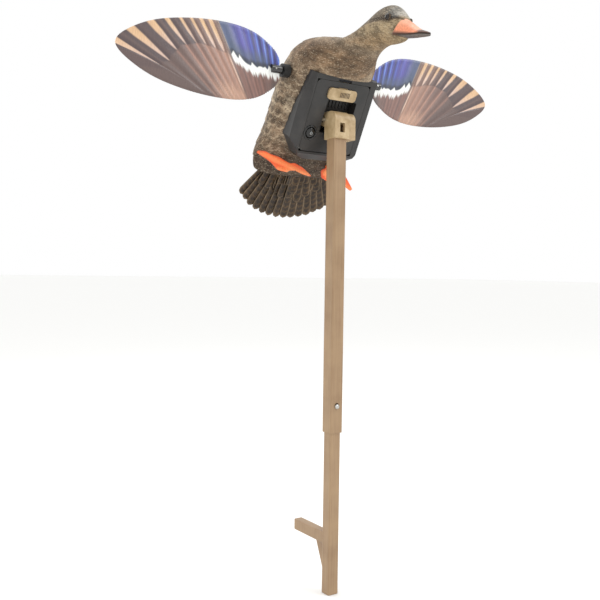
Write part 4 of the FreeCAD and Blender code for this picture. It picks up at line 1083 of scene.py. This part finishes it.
def worn_nylon():
    """Dark brown grip of the latch: nylon inked in its ribs, rubbed paler on the tops."""
    made, tree, shader = material("inked_nylon_grip", "#5a4732", roughness=0.5, ior=1.53)
    place = add(tree, "TexCoord").outputs["Object"]
    rubbed = add(tree, "TexNoise", {"Vector": place, "Scale": 1 / (2.0 * MM), "Detail": 3.0})
    paint = add(tree, "ValToRGB", {"Fac": rubbed.outputs["Fac"]},
                stops=((0.4, linear("#49392a")), (0.65, linear("#7a6447"))))
    tree.links.new(paint.outputs["Color"], shader.inputs["Base Color"])
    return made


LATCH_FACE = FACE - 2.6
GRIP_STEP = 2.2
grip = surface("latch_grip", np.array([bar((x, 6.0, LATCH_FACE), (x, 13.0, LATCH_FACE), 0.55, 0.5)
                                       for x in np.arange(-3.0, 11.0, GRIP_STEP)]))
grip.data.materials.append(worn_nylon())
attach(grip, "latch")

# ------------------------------------------------------------------------------------------------
# Pole fittings: the foot step's weld beads, laid by hand and powder coated with the tube, and the
# zinc-plated snap button with its round head, which dips into the tube as the pole slides.

STEP_LOW, STEP_HIGH = (np.array(corner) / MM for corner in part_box("foot_step"))
GUSSET_LOW, GUSSET_HIGH = (np.array(corner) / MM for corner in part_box("step_gusset"))
TUBE_FACE = (np.array(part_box("lower_tube")[1]) / MM)[1]


def weld_bead(name, corners, radius):
    """A weld bead: a round line through the corners, swollen every 2.2 mm by the torch's ripples."""
    corners = np.array(corners, float)
    legs = [np.linspace(a, b, 40)[:-1] for a, b in zip(corners, corners[1:])]
    path = np.concatenate(legs + [corners[-1:]])
    ahead = np.gradient(path, axis=0)
    ahead /= np.linalg.norm(ahead, axis=1, keepdims=True)
    out = np.array((0, 1.0, 0)) if abs(ahead[0, 1]) < 0.7 else np.array((1.0, 0, 0))
    side_way = np.cross(ahead, out)
    side_way /= np.linalg.norm(side_way, axis=1, keepdims=True)
    lift = np.cross(side_way, ahead)
    run = np.concatenate(((0,), np.cumsum(np.linalg.norm(np.diff(path, axis=0), axis=1))))
    wide = radius * (1 + 0.18 * np.cos(2 * math.pi * run / 2.2))
    turn = np.radians(np.linspace(0, 360, 17)[:-1])[:, None]
    points = (path[:, None] + (wide[:, None, None] * np.cos(turn) * side_way[:, None])
              + (wide[:, None, None] * np.sin(turn) * lift[:, None]))
    item = surface(name, points * MM)
    item.data.materials.append(tube_coat)
    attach(item, "lower_pole")


half = STEP_HIGH[0]
weld_bead("weld_step", ((-half, TUBE_FACE, STEP_LOW[2]), (-half, TUBE_FACE, STEP_HIGH[2]),
                        (half, TUBE_FACE, STEP_HIGH[2]), (half, TUBE_FACE, STEP_LOW[2])), 1.3)
for side, x in (("right", GUSSET_LOW[0]), ("left", GUSSET_HIGH[0])):
    weld_bead("weld_gusset_" + side, ((x, TUBE_FACE, GUSSET_LOW[2] + 1), (x, TUBE_FACE, STEP_LOW[2])),
              0.9)

BUTTON_LOW, BUTTON_HIGH = (np.array(corner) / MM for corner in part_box("snap_button"))
button_middle = (BUTTON_LOW + BUTTON_HIGH) / 2
button_middle[1] = BUTTON_LOW[1]
HEAD_RADII = (0.1, 1.2, 2.2, 2.9, 3.12, 3.17, 3.17, 3.9, 3.9)
HEAD_DEPTHS = (0.0, 0.1, 0.45, 1.0, 1.6, 2.2, 5.2, 5.4, 6.9)
snap = turned("snap_head", button_middle * MM, HEAD_RADII, HEAD_DEPTHS, out=(0, 1, 0), first=(1, 0, 0))
snap.data.materials.append(zinc)
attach(snap, "snap")
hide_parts("snap_button")
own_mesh(snap)

# ------------------------------------------------------------------------------------------------
# Drive: steel shaft in bronze bushes with rubber seals, black anodised hubs, a small can motor,
# four cells on nickel springs in their tray, and two glass-epoxy boards.


def plain_finish(name, dark, light, grain, stretch=(1.0, 1.0, 1.0), **sockets):
    """One cloudy tone between two colours; grain is the cloud's size in millimetres, and stretch
    draws it out into brushed or turned lines."""
    made, tree, shader = material(name, light, **sockets)
    place = add(tree, "TexCoord").outputs["Object"]
    drawn = add(tree, "Mapping", {"Vector": place, "Scale": stretch}).outputs["Vector"]
    clouds = add(tree, "TexNoise", {"Vector": drawn, "Scale": 1 / (grain * MM), "Detail": 4.0})
    paint = add(tree, "ValToRGB", {"Fac": clouds.outputs["Fac"]},
                stops=((0.35, linear(dark)), (0.65, linear(light))))
    relief = add(tree, "Bump", {"Height": clouds.outputs["Fac"], "Strength": 0.2, "Distance": 0.05 * MM})
    tree.links.new(paint.outputs["Color"], shader.inputs["Base Color"])
    tree.links.new(relief.outputs["Normal"], shader.inputs["Normal"])
    return made


dress(plain_finish("ground_steel", "#8f9194", "#c3c5c7", 0.5, (0.05, 1.0, 1.0), metallic=1.0, roughness=0.22),
      "drive_shaft")
dress(plain_finish("black_anodised_aluminium", "#161616", "#242424", 0.4, (1.0, 0.1, 0.1), roughness=0.2,
                   coat_weight=0.6), "wing_hub_right", "wing_hub_left")
dress(plain_finish("sintered_bronze", "#7a5a34", "#a9824f", 0.6, metallic=1.0, roughness=0.45),
      "shaft_bush_right", "shaft_bush_left")
dress(plain_finish("nitrile_rubber", "#0f0f0f", "#1d1c1c", 1.2, roughness=0.6),
      "shaft_seal_right", "shaft_seal_left")
dress(plain_finish("black_spring_steel", "#1c1c1e", "#303033", 1.5, metallic=1.0, roughness=0.4),
      "catch_clip")
dress(plain_finish("brushed_motor_can", "#8d8f90", "#bfc0c0", 0.5, (0.05, 1.0, 1.0), metallic=1.0,
                   roughness=0.32), "motor")
dress(plain_finish("glass_filled_nylon", "#242424", "#333231", 3.0, roughness=0.55),
      "motor_saddle", "cell_holder")
dress(plain_finish("printed_cell_jacket", "#27408a", "#3a58ad", 9.0, roughness=0.3, coat_weight=0.4),
      "aa_cells")
dress(plain_finish("nickel_plate", "#a9a69c", "#d2cfc4", 1.2, metallic=1.0, roughness=0.25), "cell_contacts")
dress(plain_finish("green_solder_mask", "#0f4a2a", "#1e6b3d", 1.8, roughness=0.35, coat_weight=0.3),
      "switch_board", "control_board")
